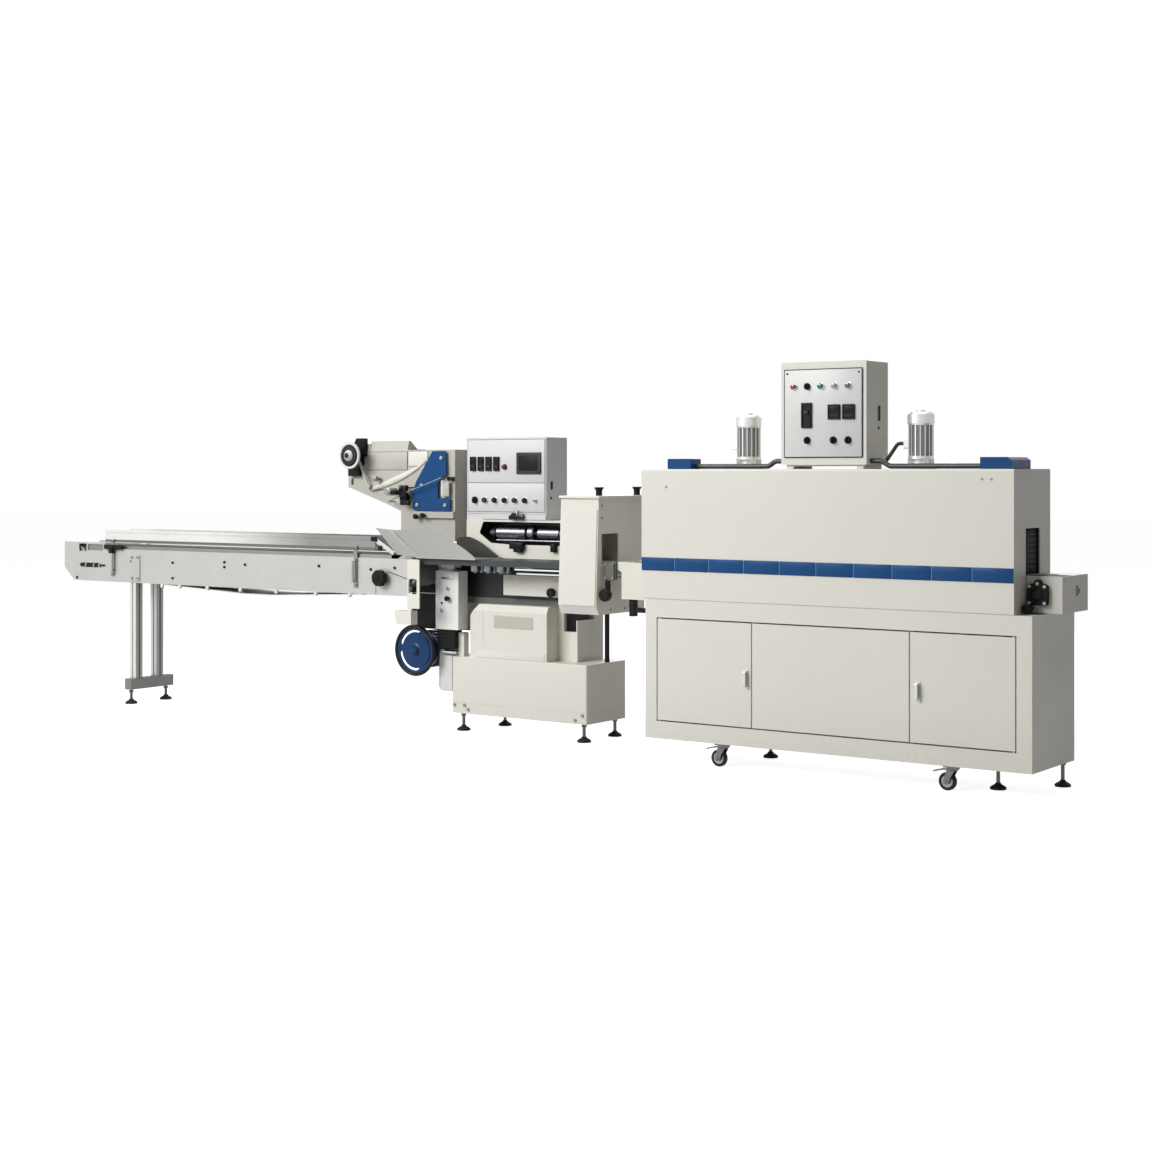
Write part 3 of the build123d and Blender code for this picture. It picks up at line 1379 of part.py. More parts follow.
def caster_wheel(x):
    """Tyre with round shoulders on a hub dished at both sides."""
    bore = CASTER_AXLE_RADIUS + PIN_CLEARANCE
    half = [(bore, 13), (11, 13), (13, 8), (24, 8), (27, 12), (33, 12), (CASTER_WHEEL_RADIUS, 7)]
    profile = [(r, CASTER_Y - y) for r, y in half] + [(r, CASTER_Y + y) for r, y in reversed(half)]
    return turned_y(x - CASTER_TRAIL, CASTER_WHEEL_RADIUS, profile)


NODES = {
    "infeed_side_plates": infeed_side_plates,
    "infeed_bed": infeed_bed,
    "infeed_belt": infeed_belt,
    "infeed_pulleys": infeed_pulleys,
    "guide_rails": guide_rails,
    "return_tray": return_tray,
    "infeed_stand": infeed_stand,
    "infeed_end_bracket": infeed_end_bracket,
    "infeed_knob": infeed_knob,
    "levelling_feet": levelling_feet,
    "base_cabinet": base_cabinet,
    "pedestal": pedestal,
    "machine_wall": machine_wall,
    "feed_rollers": feed_rollers,
    "deck_table": deck_table,
    "control_box": control_box,
    "panel_controls": panel_controls,
    "film_column": film_column,
    "film_arm": film_arm,
    "reel_bracket": reel_bracket,
    "film_spindle": film_spindle,
    "film_rollers": film_rollers,
    "film_guard_plate": film_guard_plate,
    "bag_former": bag_former,
    "drive_box": drive_box,
    "drive_block": drive_block,
    "drive_brackets": drive_brackets,
    "drive_tubes": drive_tubes,
    "side_box": side_box,
    "main_motor": main_motor,
    "handwheel": handwheel,
    "jaw_housing": jaw_housing,
    "jaw_cover": jaw_cover,
    "jaw_cap": jaw_cap,
    "jaw_knobs": jaw_knobs,
    "jaw_post": jaw_post,
    "outfeed_bridge": outfeed_bridge,
    "outfeed_gearbox": outfeed_gearbox,
    "outfeed_fittings": outfeed_fittings,
    "cabinet_wrap": cabinet_wrap,
    "cabinet_floor_and_top": cabinet_floor_and_top,
    "cabinet_front": cabinet_front,
    "middle_panel": middle_panel,
    "left_door": left_door,
    "right_door": right_door,
    "hood_cover": hood_cover,
    "hood_ends": hood_ends,
    "hood_stripe": hood_stripe,
    "tunnel_conveyor": tunnel_conveyor,
    "tunnel_belt": tunnel_belt,
    "tunnel_control_box": tunnel_control_box,
    "tunnel_controls": tunnel_controls,
    "fan_motors": fan_motors,
    "terminal_boxes": terminal_boxes,
    "roof_conduits": roof_conduits,
    "caster_plates": caster_plates,
    "left_caster_fork": lambda: caster_fork(CASTER_XS[0]),
    "right_caster_fork": lambda: caster_fork(CASTER_XS[1]),
    "left_caster_wheel": lambda: caster_wheel(CASTER_XS[0]),
    "right_caster_wheel": lambda: caster_wheel(CASTER_XS[1]),
}

os.makedirs("parts", exist_ok=True)
for name, make in NODES.items():
    export_step(make(), f"parts/{name}.step")
print(len(NODES), "nodes written")
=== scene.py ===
# %% [markdown]
# # A flow wrapping line, dressed for a picture
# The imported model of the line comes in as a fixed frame: conveyor, film unwind, bag former, end jaws and
# shrink tunnel are already the right size and in the right place. This lesson gives each of them its
# finish, and adds the small things that a frame leaves out, such as screws, dials, lamps and locks.

# %% Load the frame
import json
import math
from itertools import product

import bmesh
import bpy
from mathutils import Matrix, Vector


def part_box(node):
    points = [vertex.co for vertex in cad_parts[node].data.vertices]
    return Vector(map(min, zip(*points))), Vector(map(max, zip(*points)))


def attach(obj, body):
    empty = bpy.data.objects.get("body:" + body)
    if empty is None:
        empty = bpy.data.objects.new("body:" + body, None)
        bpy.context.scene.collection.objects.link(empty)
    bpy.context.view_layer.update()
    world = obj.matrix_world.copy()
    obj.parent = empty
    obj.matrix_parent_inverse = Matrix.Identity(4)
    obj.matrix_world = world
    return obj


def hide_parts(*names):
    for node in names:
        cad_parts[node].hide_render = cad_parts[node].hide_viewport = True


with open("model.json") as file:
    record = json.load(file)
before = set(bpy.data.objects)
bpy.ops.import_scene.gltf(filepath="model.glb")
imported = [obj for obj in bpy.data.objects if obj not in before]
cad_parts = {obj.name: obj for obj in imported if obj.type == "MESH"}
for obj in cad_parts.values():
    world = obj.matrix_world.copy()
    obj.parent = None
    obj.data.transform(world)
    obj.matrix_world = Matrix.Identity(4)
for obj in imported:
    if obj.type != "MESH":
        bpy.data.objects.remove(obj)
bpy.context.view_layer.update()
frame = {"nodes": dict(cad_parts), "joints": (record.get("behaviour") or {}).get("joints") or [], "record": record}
nodes = frame["nodes"]

# %% [markdown]
# ## Camera
# The picture was taken from the exit end, a little above belt height, with the lens held level, so that
# all uprights stay upright. A level camera shows the floor low in the frame by shifting the lens, and not
# by tilting it: that keeps the uprights parallel here too.

# %% Camera
PHOTO_SIDE = 1152
FOCAL_PIXELS = 1912.4
HORIZON_ROW = 470.9
SENSOR = 36.0
EYE = (5.838, -7.489, 1.304)
EYE_TURN = 35.5

bpy.ops.object.camera_add(location=EYE, rotation=(math.radians(90), 0, math.radians(EYE_TURN)))
camera = bpy.context.object
camera.data.sensor_width = SENSOR
camera.data.lens = SENSOR * FOCAL_PIXELS / PHOTO_SIDE
camera.data.shift_y = (HORIZON_ROW - PHOTO_SIDE / 2) / PHOTO_SIDE
bpy.context.scene.camera = camera
print("lens", round(camera.data.lens, 1), "mm")

# %% [markdown]
# ## Writing shaders as sums
# A finish is a little arithmetic on where a point lies: a mask here, a speckle there. Wiring each Math
# node by hand hides that, so one small class stands for a socket and lets Python's own operators add the
# nodes. A second class holds the material, or the world, and its one method adds any other node.

# %% Shader arithmetic


def operator(operation):
    """A method that adds one Math node to a signal's material."""
    return lambda self, other: self.math(operation, self, other)


class Signal:
    """A socket in a material, on which Python's operators add Math nodes."""

    def __init__(self, finish, socket):
        self.finish = finish
        self.socket = socket

    def math(self, operation, first, second):
        return self.finish.node("Math", {"operation": operation}, {0: first, 1: second})

    def __rsub__(self, other):
        return self.math("SUBTRACT", other, self)

    def ramp(self, start, end, top=1.0):
        """Rises from nothing at one value to its top at another."""
        return self.finish.node("MapRange", sockets={0: self, 1: start, 2: end, 3: 0.0, 4: top})

    __add__ = __radd__ = operator("ADD")
    __sub__ = operator("SUBTRACT")
    __mul__ = __rmul__ = operator("MULTIPLY")
    __pow__ = operator("POWER")
    __mod__ = operator("FLOORED_MODULO")
    __gt__ = operator("GREATER_THAN")
    __lt__ = operator("LESS_THAN")


class Finish:
    """A material, or the world, being mixed: its node tree, and the one method that adds a node."""

    def __init__(self, name, library="materials", shader="Principled BSDF"):
        self.owner = getattr(bpy.data, library).new(name)
        self.owner.use_nodes = True
        self.tree = self.owner.node_tree
        self.shader = self.tree.nodes[shader]

    def node(self, kind, settings=None, sockets=None, out=0):
        made = self.tree.nodes.new("ShaderNode" + kind)
        for name, value in (settings or {}).items():
            setattr(made, name, value)
        for name, value in (sockets or {}).items():
            self.feed(made.inputs[name], value)
        return Signal(self, made.outputs[out])

    def feed(self, socket, value):
        if isinstance(value, Signal):
            self.tree.links.new(value.socket, socket)
        elif isinstance(value, tuple) and len(value) == 3 and socket.type == "RGBA":
            socket.default_value = (*value, 1)
        else:
            socket.default_value = value

    def set(self, **values):
        """Feeds the shader's own sockets, named with underscores for spaces."""
        for name, value in values.items():
            self.feed(self.shader.inputs[name.replace("_", " ")], value)

    def place(self):
        """The point's X, Y and Z in metres, in the frame of the line."""
        point = self.node("TexCoord", out="Object")
        split = self.node("SeparateXYZ", sockets={0: point})
        return [Signal(self, output) for output in split.socket.node.outputs]

    def noise(self, scale, detail=2.0, stretch=(1, 1, 1)):
        point = self.node("TexCoord", out="Object")
        stretched = self.node("Mapping", sockets={"Vector": point, "Scale": stretch})
        return self.node("TexNoise", sockets={"Vector": stretched, "Scale": scale, "Detail": detail})

    def mix(self, factor, first, second):
        return self.node("Mix", {"data_type": "RGBA"}, {0: factor, 6: first, 7: second}, out=2)

    def bump(self, height, strength, distance):
        values = {"Height": height, "Strength": strength, "Distance": distance}
        self.set(Normal=self.node("Bump", sockets=values))

    def seen(self):
        """One for rays that bring a surface to the eye: straight, in a reflection or through glass."""
        rays = self.node("LightPath").socket.node.outputs
        names = ("Is Camera Ray", "Is Glossy Ray", "Is Transmission Ray")
        straight, mirrored, through = (Signal(self, rays[name]) for name in names)
        return straight.math("MAXIMUM", straight.math("MAXIMUM", straight, mirrored), through)


def between(value, low, high):
    return (value > low) * (value < high)


def distance(across, up, centre):
    """How far a point is from an axis through centre, in the plane of two coordinates."""
    first = across - centre[0]
    second = up - centre[1]
    return (first * first + second * second) ** 0.5


def darker(colour, share):
    return tuple(share * channel for channel in colour)


print("shader arithmetic ready")

# %% [markdown]
# ## The main finish: cream enamel
# Nearly every cover is sheet steel in a warm off-white stove enamel. It isn't one flat colour: the spray
# leaves faint clouds, the surface has a fine orange peel that breaks up reflections, and dust settles
# near the floor. All three use noise on the object's own coordinates, so that neighbouring sheets carry
# on the same pattern.

# %% Enamels
INK = (0.010, 0.010, 0.011)
DUST_FROM, DUST_FULL = 0.36, 0.08
DUST_SHARE = 0.35


def enamel(name, colour, shade, roughness=0.36, dust=False, parts=(), part_metal=False, shine=0.28):
    """Baked paint in two close tints, with orange peel, and masked parts in other colours."""
    finish = Finish(name)
    clouds = finish.noise(1.6, 3.0)
    peel = finish.noise(330.0, 1.0)
    tint = finish.mix(clouds, colour, shade)
    if dust:
        _, _, height = finish.place()
        low = height.ramp(DUST_FROM, DUST_FULL, DUST_SHARE)
        tint = finish.mix(low * finish.noise(55.0, 4.0), tint, darker(shade, 0.62))
    for part, part_colour in parts:
        mask = part(*finish.place())
        tint = finish.mix(mask, tint, part_colour)
        if part_metal:
            finish.set(Metallic=mask)
    finish.set(Base_Color=tint, Roughness=roughness + 0.14 * (clouds - 0.5) + 0.05 * peel)
    finish.set(Coat_Weight=0.04, Coat_Roughness=0.22, Specular_IOR_Level=shine)
    finish.bump(peel, 0.05, 0.0004)
    return finish


CREAM = ((0.735, 0.720, 0.650), (0.665, 0.650, 0.585))
DEEP_BLUE = ((0.006, 0.044, 0.135), (0.004, 0.032, 0.100))
BLUE_SHINE = 0.14


def cream_coat(name, *parts, part_metal=False, shine=0.28):
    """Cream enamel with dust, and masked parts in other colours."""
    return enamel(name, *CREAM, dust=True, parts=parts, part_metal=part_metal, shine=shine)


cream = cream_coat("cream enamel")
# A darker cream, as painted shade, for the film arm and column, an arm cover, the notch plate and the skirt.
shaded_cream = enamel("shaded cream enamel", (0.500, 0.492, 0.440), (0.400, 0.392, 0.350), 0.40)
panel_grey = enamel("panel grey", (0.655, 0.650, 0.655), (0.585, 0.580, 0.590), 0.42)
white = enamel("white enamel", (0.655, 0.66, 0.645), (0.60, 0.605, 0.59), 0.34)
pale = enamel("pale enamel", (0.83, 0.835, 0.81), (0.77, 0.775, 0.75), 0.34)
slate = enamel("slate enamel", (0.042, 0.050, 0.052), (0.030, 0.036, 0.038), 0.44)
blue = enamel("blue enamel", (0.008, 0.068, 0.210), (0.005, 0.050, 0.158), 0.30, shine=BLUE_SHINE)
deep_blue = enamel("deep blue enamel", *DEEP_BLUE, 0.30, shine=BLUE_SHINE)
joint_blue = enamel("joint blue", (0.15, 0.28, 0.46), (0.12, 0.24, 0.42), shine=BLUE_SHINE)
print("with the enamels", len(bpy.data.materials), "materials")

# %% [markdown]
# ## Bare metal
# Rails are bright brushed sheet, the infeed's sides satin plate, posts aluminium, and rollers are ground
# and plated. What sets them apart is the direction and depth of the tool marks, so each is one noise that
# is stretched along the brushing and drives both the roughness and a very shallow bump.

# %% Bare metals


def brushed(name, colour, roughness, grain, marks=0.16, depth=0.06, metal=1.0, parts=()):
    """Metal with tool marks along one direction, given by how the noise is squeezed, and masked parts."""
    finish = Finish(name)
    streak = finish.noise(1.0, 3.0, grain)
    blotch = finish.noise(7.0, 2.0)
    tint = finish.mix(streak * 0.6 + blotch * 0.4, darker(colour, 0.80), colour)
    for mask, part_colour in parts:
        tint = finish.mix(mask(*finish.place()), tint, part_colour)
    finish.set(Base_Color=tint, Metallic=metal)
    finish.set(Roughness=roughness + marks * (streak - 0.5) + 0.10 * (blotch - 0.5))
    finish.bump(streak, depth, 0.0003)
    return finish


ALONG_X = (6.0, 900.0, 900.0)
ALONG_Z = (900.0, 900.0, 9.0)
ROUND_TURNED = (700.0, 25.0, 25.0)
CRYSTALS = (60.0, 60.0, 60.0)

stainless = brushed("brushed stainless", (0.62, 0.62, 0.60), 0.30, ALONG_X)
satin_plate = brushed("satin plate", (0.50, 0.49, 0.47), 0.46, ALONG_X, 0.10, 0.03, metal=0.4)
plate_metal = brushed("name plate metal", (0.46, 0.455, 0.385), 0.42, ALONG_X, 0.10, 0.03, metal=0.3)
bed_steel = brushed("bed steel", (0.27, 0.27, 0.26), 0.40, ALONG_X)
aluminium = brushed("drawn aluminium", (0.46, 0.47, 0.46), 0.40, ALONG_Z, metal=0.6)
gear_metal = brushed("gear housing metal", (0.105, 0.103, 0.092), 0.42, ALONG_Z, metal=0.5)
chrome = brushed("ground chrome", (0.78, 0.79, 0.81), 0.12, ROUND_TURNED, 0.08, 0.03)
dark_chrome = brushed("dark chrome", (0.22, 0.225, 0.245), 0.28, ROUND_TURNED, 0.08, 0.03)
zinc = brushed("zinc plate", (0.36, 0.36, 0.345), 0.36, CRYSTALS, 0.2, 0.1)
caster_steel = brushed("caster steel", (0.15, 0.15, 0.145), 0.36, CRYSTALS, 0.2, 0.1)
print("with the metals", len(bpy.data.materials), "materials")

# %% [markdown]
# ## Plastic, rubber and dark paint
# The black pieces differ in how they take the light. Moulded knobs have a fine leather grain, belts a
# woven face, feet are dull rubber, and conduits are ringed hose.

# %% Dark finishes


def moulded(name, colour, roughness, grain=520.0, depth=0.12):
    """Plastic or rubber out of a grained mould."""
    finish = Finish(name)
    pores = finish.noise(grain, 2.0)
    wipe = finish.noise(14.0, 3.0)
    worn = tuple(1.6 * channel + 0.004 for channel in colour)
    finish.set(Base_Color=finish.mix(wipe * wipe, colour, worn))
    finish.set(Roughness=roughness + 0.18 * (wipe - 0.5), Specular_IOR_Level=0.12)
    finish.bump(pores, depth, 0.0004)
    return finish


def woven_belt(name):
    """Grey-black belt with a fine weave and a rubbed middle."""
    finish = Finish(name)
    point = finish.node("TexCoord", out="Object")
    threads = finish.node("TexChecker", sockets={"Vector": point, "Scale": 420.0}, out=1)
    rubbed = finish.noise(3.0, 4.0, (0.4, 9.0, 1.0))
    finish.set(Base_Color=finish.mix(rubbed, (0.030, 0.031, 0.032), (0.085, 0.085, 0.083)))
    finish.set(Roughness=0.62 + 0.12 * (rubbed - 0.5))
    finish.bump(threads, 0.25, 0.0004)
    return finish


RING_PITCH = 0.008


def corrugated(name):
    """Black conduit with rings along its runs."""
    finish = Finish(name)
    along, _, up = finish.place()
    rings = ((along + up) % RING_PITCH) > RING_PITCH / 2
    scuff = finish.noise(40.0, 3.0)
    finish.set(Base_Color=finish.mix(scuff, (0.012, 0.012, 0.013), (0.035, 0.035, 0.036)))
    finish.set(Roughness=0.36 + 0.2 * (scuff - 0.5))
    finish.bump(rings, 0.6, 0.0015)
    return finish


black_plastic = moulded("black plastic", (0.006, 0.006, 0.0065), 0.42)
black_steel = moulded("black steel", (0.007, 0.007, 0.0075), 0.34, 300.0, 0.05)
bezel_grey = moulded("bezel grey", (0.034, 0.034, 0.043), 0.45)
rubber = moulded("black rubber", (0.022, 0.022, 0.022), 0.66, 260.0, 0.2)
belt = woven_belt("woven belt")
conduit = corrugated("corrugated conduit")
print("with the dark finishes", len(bpy.data.materials), "materials")

# %% [markdown]
# ## Painting the frame
# The record already says which finish each node takes, so most nodes are painted by that list. Some have
# a finish of their own, because the real sheet is duller or whiter than the rest; the film arm and column
# take a darker cream that is painted shade.

# %% Paint by the record's slots
SLOT_FINISH = {
    "cream_paint": cream,
    "stainless": stainless,
    "aluminium": aluminium,
    "blue_paint": blue,
    "black_plastic": black_plastic,
    "black_steel": black_steel,
    "belt_rubber": belt,
    "chrome": chrome,
    "zinc_steel": zinc,
    "wheel_rubber": rubber,
}
OWN_FINISH = {
    "control_box": panel_grey,
    "infeed_side_plates": satin_plate,
    "infeed_bed": bed_steel,
    "drive_box": pale,
    "side_box": white,
    "main_motor": deep_blue,
    "feed_rollers": dark_chrome,
    "film_rollers": bed_steel,
    # Painted shade: the film arm and its column take the darker cream.
    "film_arm": shaded_cream,
    "film_column": shaded_cream,
    "roof_conduits": conduit,
    "caster_plates": caster_steel,
    "left_caster_fork": caster_steel,
    "right_caster_fork": caster_steel,
    "outfeed_gearbox": gear_metal,
    "deck_table": slate,
}


def paint(piece, finish):
    piece.data.materials.clear()
    piece.data.materials.append(finish.owner)


for subpart in frame["record"]["subparts"]:
    name = subpart["node"]
    paint(nodes[name], OWN_FINISH.get(name, SLOT_FINISH[subpart["material_slot"]]))
print("painted", len(nodes), "nodes,", len(OWN_FINISH), "in a finish of their own")

# %% [markdown]
# ## Two finishes on one solid
# A wheel's tyre and hub, or a wall and the black lining of its recess, are one solid in the frame.
# Painting one part of it needs no new geometry: a mask made from the distance to an axis, or from a range
# of places, mixes two finishes in one material.

# %% Masks


def two_tone(name, first, second, mask_of, roughness, metal=False):
    """One material with two colours, split by a mask on the point's place."""
    finish = Finish(name)
    mask = mask_of(*finish.place())
    grain = finish.noise(300.0, 2.0)
    worn = finish.noise(9.0, 3.0)
    tint = finish.mix(mask, first, second)
    finish.set(Base_Color=finish.mix(0.12 * worn, tint, (0.20, 0.20, 0.19)))
    low, high = roughness
    finish.set(Roughness=low + (high - low) * mask + 0.15 * (worn - 0.5), Specular_IOR_Level=0.15)
    if metal:
        finish.set(Metallic=mask)
    finish.bump(grain, 0.06, 0.0004)
    return finish


def axis_of(joint_name):
    """Where a joint's axis stands in X and Z."""
    joint = next(joint for joint in frame["joints"] if joint["name"] == joint_name)
    return joint["pos_m"][0], joint["pos_m"][2]


def near_axis(joint_name, radius):
    centre = axis_of(joint_name)
    return lambda x, y, z: distance(x, z, centre) < radius


def inside(low, high):
    """A mask for what lies in a box."""
    def mask(x, y, z):
        across = between(x, low[0], high[0]) * between(y, low[1], high[1])
        return across * between(z, low[2], high[2])
    return mask


def either(first, second):
    """Where one mask or the other, which don't meet, is on."""
    return lambda x, y, z: first(x, y, z) + second(x, y, z)


print("masks ready")

# %% [markdown]
# ## Wheels, doors and feet
# The handwheel has a black rim on a blue wheel, the reel spindle a black ring on a white disc, and a
# caster a steel hub in its tyre. A door's handle stands proud of its sheet, so its depth alone marks it.

# %% Wheels, doors and feet
WHEEL_RIM = 0.0185
wheel_low, wheel_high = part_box("handwheel")
rim_from = (wheel_high.x - wheel_low.x) / 2 - WHEEL_RIM


def rim_of_wheel(x, y, z):
    return distance(x, z, axis_of("handwheel_turn")) > rim_from


wheel_paint = enamel("wheel enamel", *DEEP_BLUE, 0.30, parts=((rim_of_wheel, INK),), shine=BLUE_SHINE)
paint(nodes["handwheel"], wheel_paint)

SPINDLE_WHITE = (0.72, 0.72, 0.70)
SPINDLE_RING = (0.029, 0.058)
SPINDLE_EYE = 0.015


def ring_of_spindle(x, y, z):
    away = distance(x, z, axis_of("film_spindle_turn"))
    return between(away, *SPINDLE_RING) + (away < SPINDLE_EYE)


paint(nodes["film_spindle"], two_tone("spindle", SPINDLE_WHITE, INK, ring_of_spindle, (0.3, 0.45)))

HUB_RADIUS = 0.0255
HUB_STEEL = (0.30, 0.30, 0.29)
HANDLE_FROM = -0.2965
HANDLE = (0.46, 0.46, 0.45)
handle_part = (lambda x, y, z: y < HANDLE_FROM, HANDLE)
for side in ("left", "right"):
    hub = near_axis(side + "_caster_roll", HUB_RADIUS)
    tyre = two_tone(side + " caster", INK, HUB_STEEL, hub, (0.6, 0.3), metal=True)
    paint(nodes[side + "_caster_wheel"], tyre)
    paint(nodes[side + "_door"], cream_coat(side + " door enamel", handle_part, part_metal=True))

STEM_FROM = 0.027
STEM_STEEL = (0.08, 0.08, 0.08)
stem = lambda x, y, z: z > STEM_FROM
paint(nodes["levelling_feet"], two_tone("foot", INK, STEM_STEEL, stem, (0.7, 0.35), metal=True))
print("wheel rim from", round(rim_from, 4), "m, hubs up to", HUB_RADIUS, "m")

# %% [markdown]
# ## Wall, hood and conveyor ends
# The wall is black inside the roller recess. Under the deck it is painted black as painted shade, down to a
# grey band of painted shade behind the pedestal. The hot chamber is dark inside, and a slotted hole in the
# exit face is painted black, as painted shade.

# %% Wall, hood and conveyor ends
SHADE_BAND_GREY = (0.12, 0.126, 0.115)
# Black inside the roller recess; painted shade on the wall under the deck, black above and grey lower down.
roller_recess = inside((-0.145, 0.056, 0.934), (0.515, 0.150, 1.053))
under_deck_shade = inside((-0.222, 0.053, 0.670), (0.560, 0.0555, 0.856))
grey_shade_band = inside((-0.222, 0.053, 0.630), (0.560, 0.0555, 0.670))
wall_parts = ((either(roller_recess, under_deck_shade), INK), (grey_shade_band, SHADE_BAND_GREY))
paint(nodes["machine_wall"], cream_coat("wall enamel", *wall_parts))

HOOD_WALL = 0.0195
HOOD_LINING = (0.030, 0.031, 0.029)
hood_low, hood_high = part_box("hood_cover")
chamber_low = hood_low + Vector((-0.001, HOOD_WALL, -0.001))
chamber_high = hood_high - Vector((-0.001, HOOD_WALL, HOOD_WALL))
paint(nodes["hood_cover"], cream_coat("hood enamel", (inside(chamber_low, chamber_high), HOOD_LINING)))

BRACKET_BACK = 0.05
bracket_part = (lambda x, y, z: y > BRACKET_BACK, INK)
paint(nodes["infeed_end_bracket"], cream_coat("bracket enamel", bracket_part))

exit_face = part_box("tunnel_conveyor")[1].x
# A slotted hole in the exit face, painted black as painted shade.
hole_shade = inside((exit_face - 0.001, -0.016, 0.797), (exit_face + 0.001, 0.008, 0.840))
hole_shade_arms = inside((exit_face - 0.001, 0.008, 0.808), (exit_face + 0.001, 0.028, 0.826))
exit_coat = cream_coat("exit enamel", (either(hole_shade, hole_shade_arms), INK), shine=0.16)
paint(nodes["tunnel_conveyor"], exit_coat)
print("chamber", [round(side, 3) for side in chamber_high - chamber_low], "m")

# %% [markdown]
# ## Infeed, former and fans
# The posts are grooved extrusions, painted bright on the face that sees the lamp and darker on their sides
# and foot bar, as painted light and shade. The rails are painted darker towards the former and below their
# fold, the rear wing of the former near black, and the fan motors dark between their ribs, all as painted
# shade. Each is the same brushed metal with masks for these parts.

# %% Infeed, former and fans
POST_FACES = (-0.195, -0.041)
POST_GROOVE = (-2.430, -2.414)
GROOVE_DEPTH = 0.009
BRACKET_FROM = 0.690
FOOT_SHADE_TO = 0.142


def lit_post_front(x, y, z):
    """The front faces of both posts, with the groove in each, where a painted highlight goes."""
    first, second = (between(y, face - 0.001, face + 0.001) for face in POST_FACES)
    third, fourth = (between(y, face, face + GROOVE_DEPTH) for face in POST_FACES)
    groove = between(x, *POST_GROOVE) * (third + fourth)
    return (first + second + groove) > 0.5


# Painted light and shade: the post fronts lit, the foot bar in shade; above the bracket height is its own metal.
post_parts = (
    (lit_post_front, (0.62, 0.625, 0.595)),
    (lambda x, y, z: z > BRACKET_FROM, (0.44, 0.435, 0.42)),
    (lambda x, y, z: z < FOOT_SHADE_TO, (0.18, 0.182, 0.175)),
)
# The rest of each post is painted darker, as its shaded sides.
POST_SHADED_METAL = (0.33, 0.335, 0.32)
posts = brushed("post aluminium", POST_SHADED_METAL, 0.42, ALONG_Z, metal=0.5, parts=post_parts)
paint(nodes["infeed_stand"], posts)

STRAP_SPANS = ((-2.5865, -2.5615), (-0.7495, -0.7245))
STRAP_TOP = 0.900
STRAP_FROM = -0.2005
RAIL_SHADE_RAMP = (-1.70, -1.05)
RAIL_FOLD = 0.916
FRONT_RAIL = -0.19


def straps(x, y, z):
    first, second = (between(x, *span) for span in STRAP_SPANS)
    return (first + second) * (z < STRAP_TOP) * (y < STRAP_FROM)


# Painted shade: the rails grow darker towards the former and below their fold; the straps are their own dark
# steel.
rail_parts = (
    (lambda x, y, z: x.ramp(*RAIL_SHADE_RAMP), (0.28, 0.278, 0.262)),
    (lambda x, y, z: (z < RAIL_FOLD) * (y < FRONT_RAIL), (0.165, 0.162, 0.145)),
    (straps, (0.26, 0.26, 0.25)),
)
RAIL_STEEL = (0.84, 0.84, 0.81)
rails = brushed("rail stainless", RAIL_STEEL, 0.28, ALONG_X, 0.08, 0.02, metal=0.85, parts=rail_parts)
paint(nodes["guide_rails"], rails)

FORMER_REAR = 0.005
FORMER_STEEL = (0.37, 0.37, 0.355)
FORMER_GRAIN = (40.0, 160.0, 160.0)
# The rear wing is painted near black, as painted shade.
former_parts = ((lambda x, y, z: y > FORMER_REAR, (0.022, 0.022, 0.020)),)
former = brushed("dull stainless", FORMER_STEEL, 0.44, FORMER_GRAIN, 0.22, 0.05, parts=former_parts)
paint(nodes["bag_former"], former)

FAN_AXES = ((1.517, -0.106), (2.352, -0.106))
FAN_CORE = 0.0472
FAN_RIBS = (1.368, 1.494)
FAN_METAL = (0.80, 0.805, 0.79)


def between_ribs(x, y, z):
    first, second = (distance(x, y, axis) < FAN_CORE for axis in FAN_AXES)
    return (first + second) * between(z, *FAN_RIBS)


# Painted shade between the ribs.
fan_parts = ((between_ribs, (0.20, 0.20, 0.195)),)
fans = brushed("cast aluminium", FAN_METAL, 0.34, ALONG_Z, metal=0.6, parts=fan_parts)
paint(nodes["fan_motors"], fans)
print("with the masked metals", len(bpy.data.materials), "materials")

# %% [markdown]
# ## A small modelling kit
# The pieces that follow are modelled as by hand: a disc or a cube is added, taken into edit mode, and
# shaped by extruding, insetting and bevelling. Three moves cover nearly all of them, so each gets a
# function: a round piece that grows step by step, a flat piece with eased edges and a sunk face, and a
# copy put in many places.

# %% Modelling kit
TURN = {
    "up": Matrix.Identity(4),
    "front": Matrix.Rotation(math.radians(90), 4, "X"),
    "back": Matrix.Rotation(math.radians(-90), 4, "X"),
    "right": Matrix.Rotation(math.radians(90), 4, "Y"),
}
SMOOTH_ANGLE = math.radians(35)


def deselect():
    bpy.ops.object.select_all(action="DESELECT")


def extrude(rise):
    bpy.ops.mesh.extrude_region_move(TRANSFORM_OT_translate={"value": (0, 0, rise)})


def seat(piece, name, finish, facing, place, turn=0.0):
    """Turns a modelled piece in its own plane and to its facing, puts it in place and paints it."""
    piece.data.transform(Matrix.Translation(place) @ TURN[facing] @ Matrix.Rotation(turn, 4, "Z"))
    piece.name = name
    paint(piece, finish)
    bpy.ops.object.shade_smooth_by_angle(angle=SMOOTH_ANGLE)
    return piece


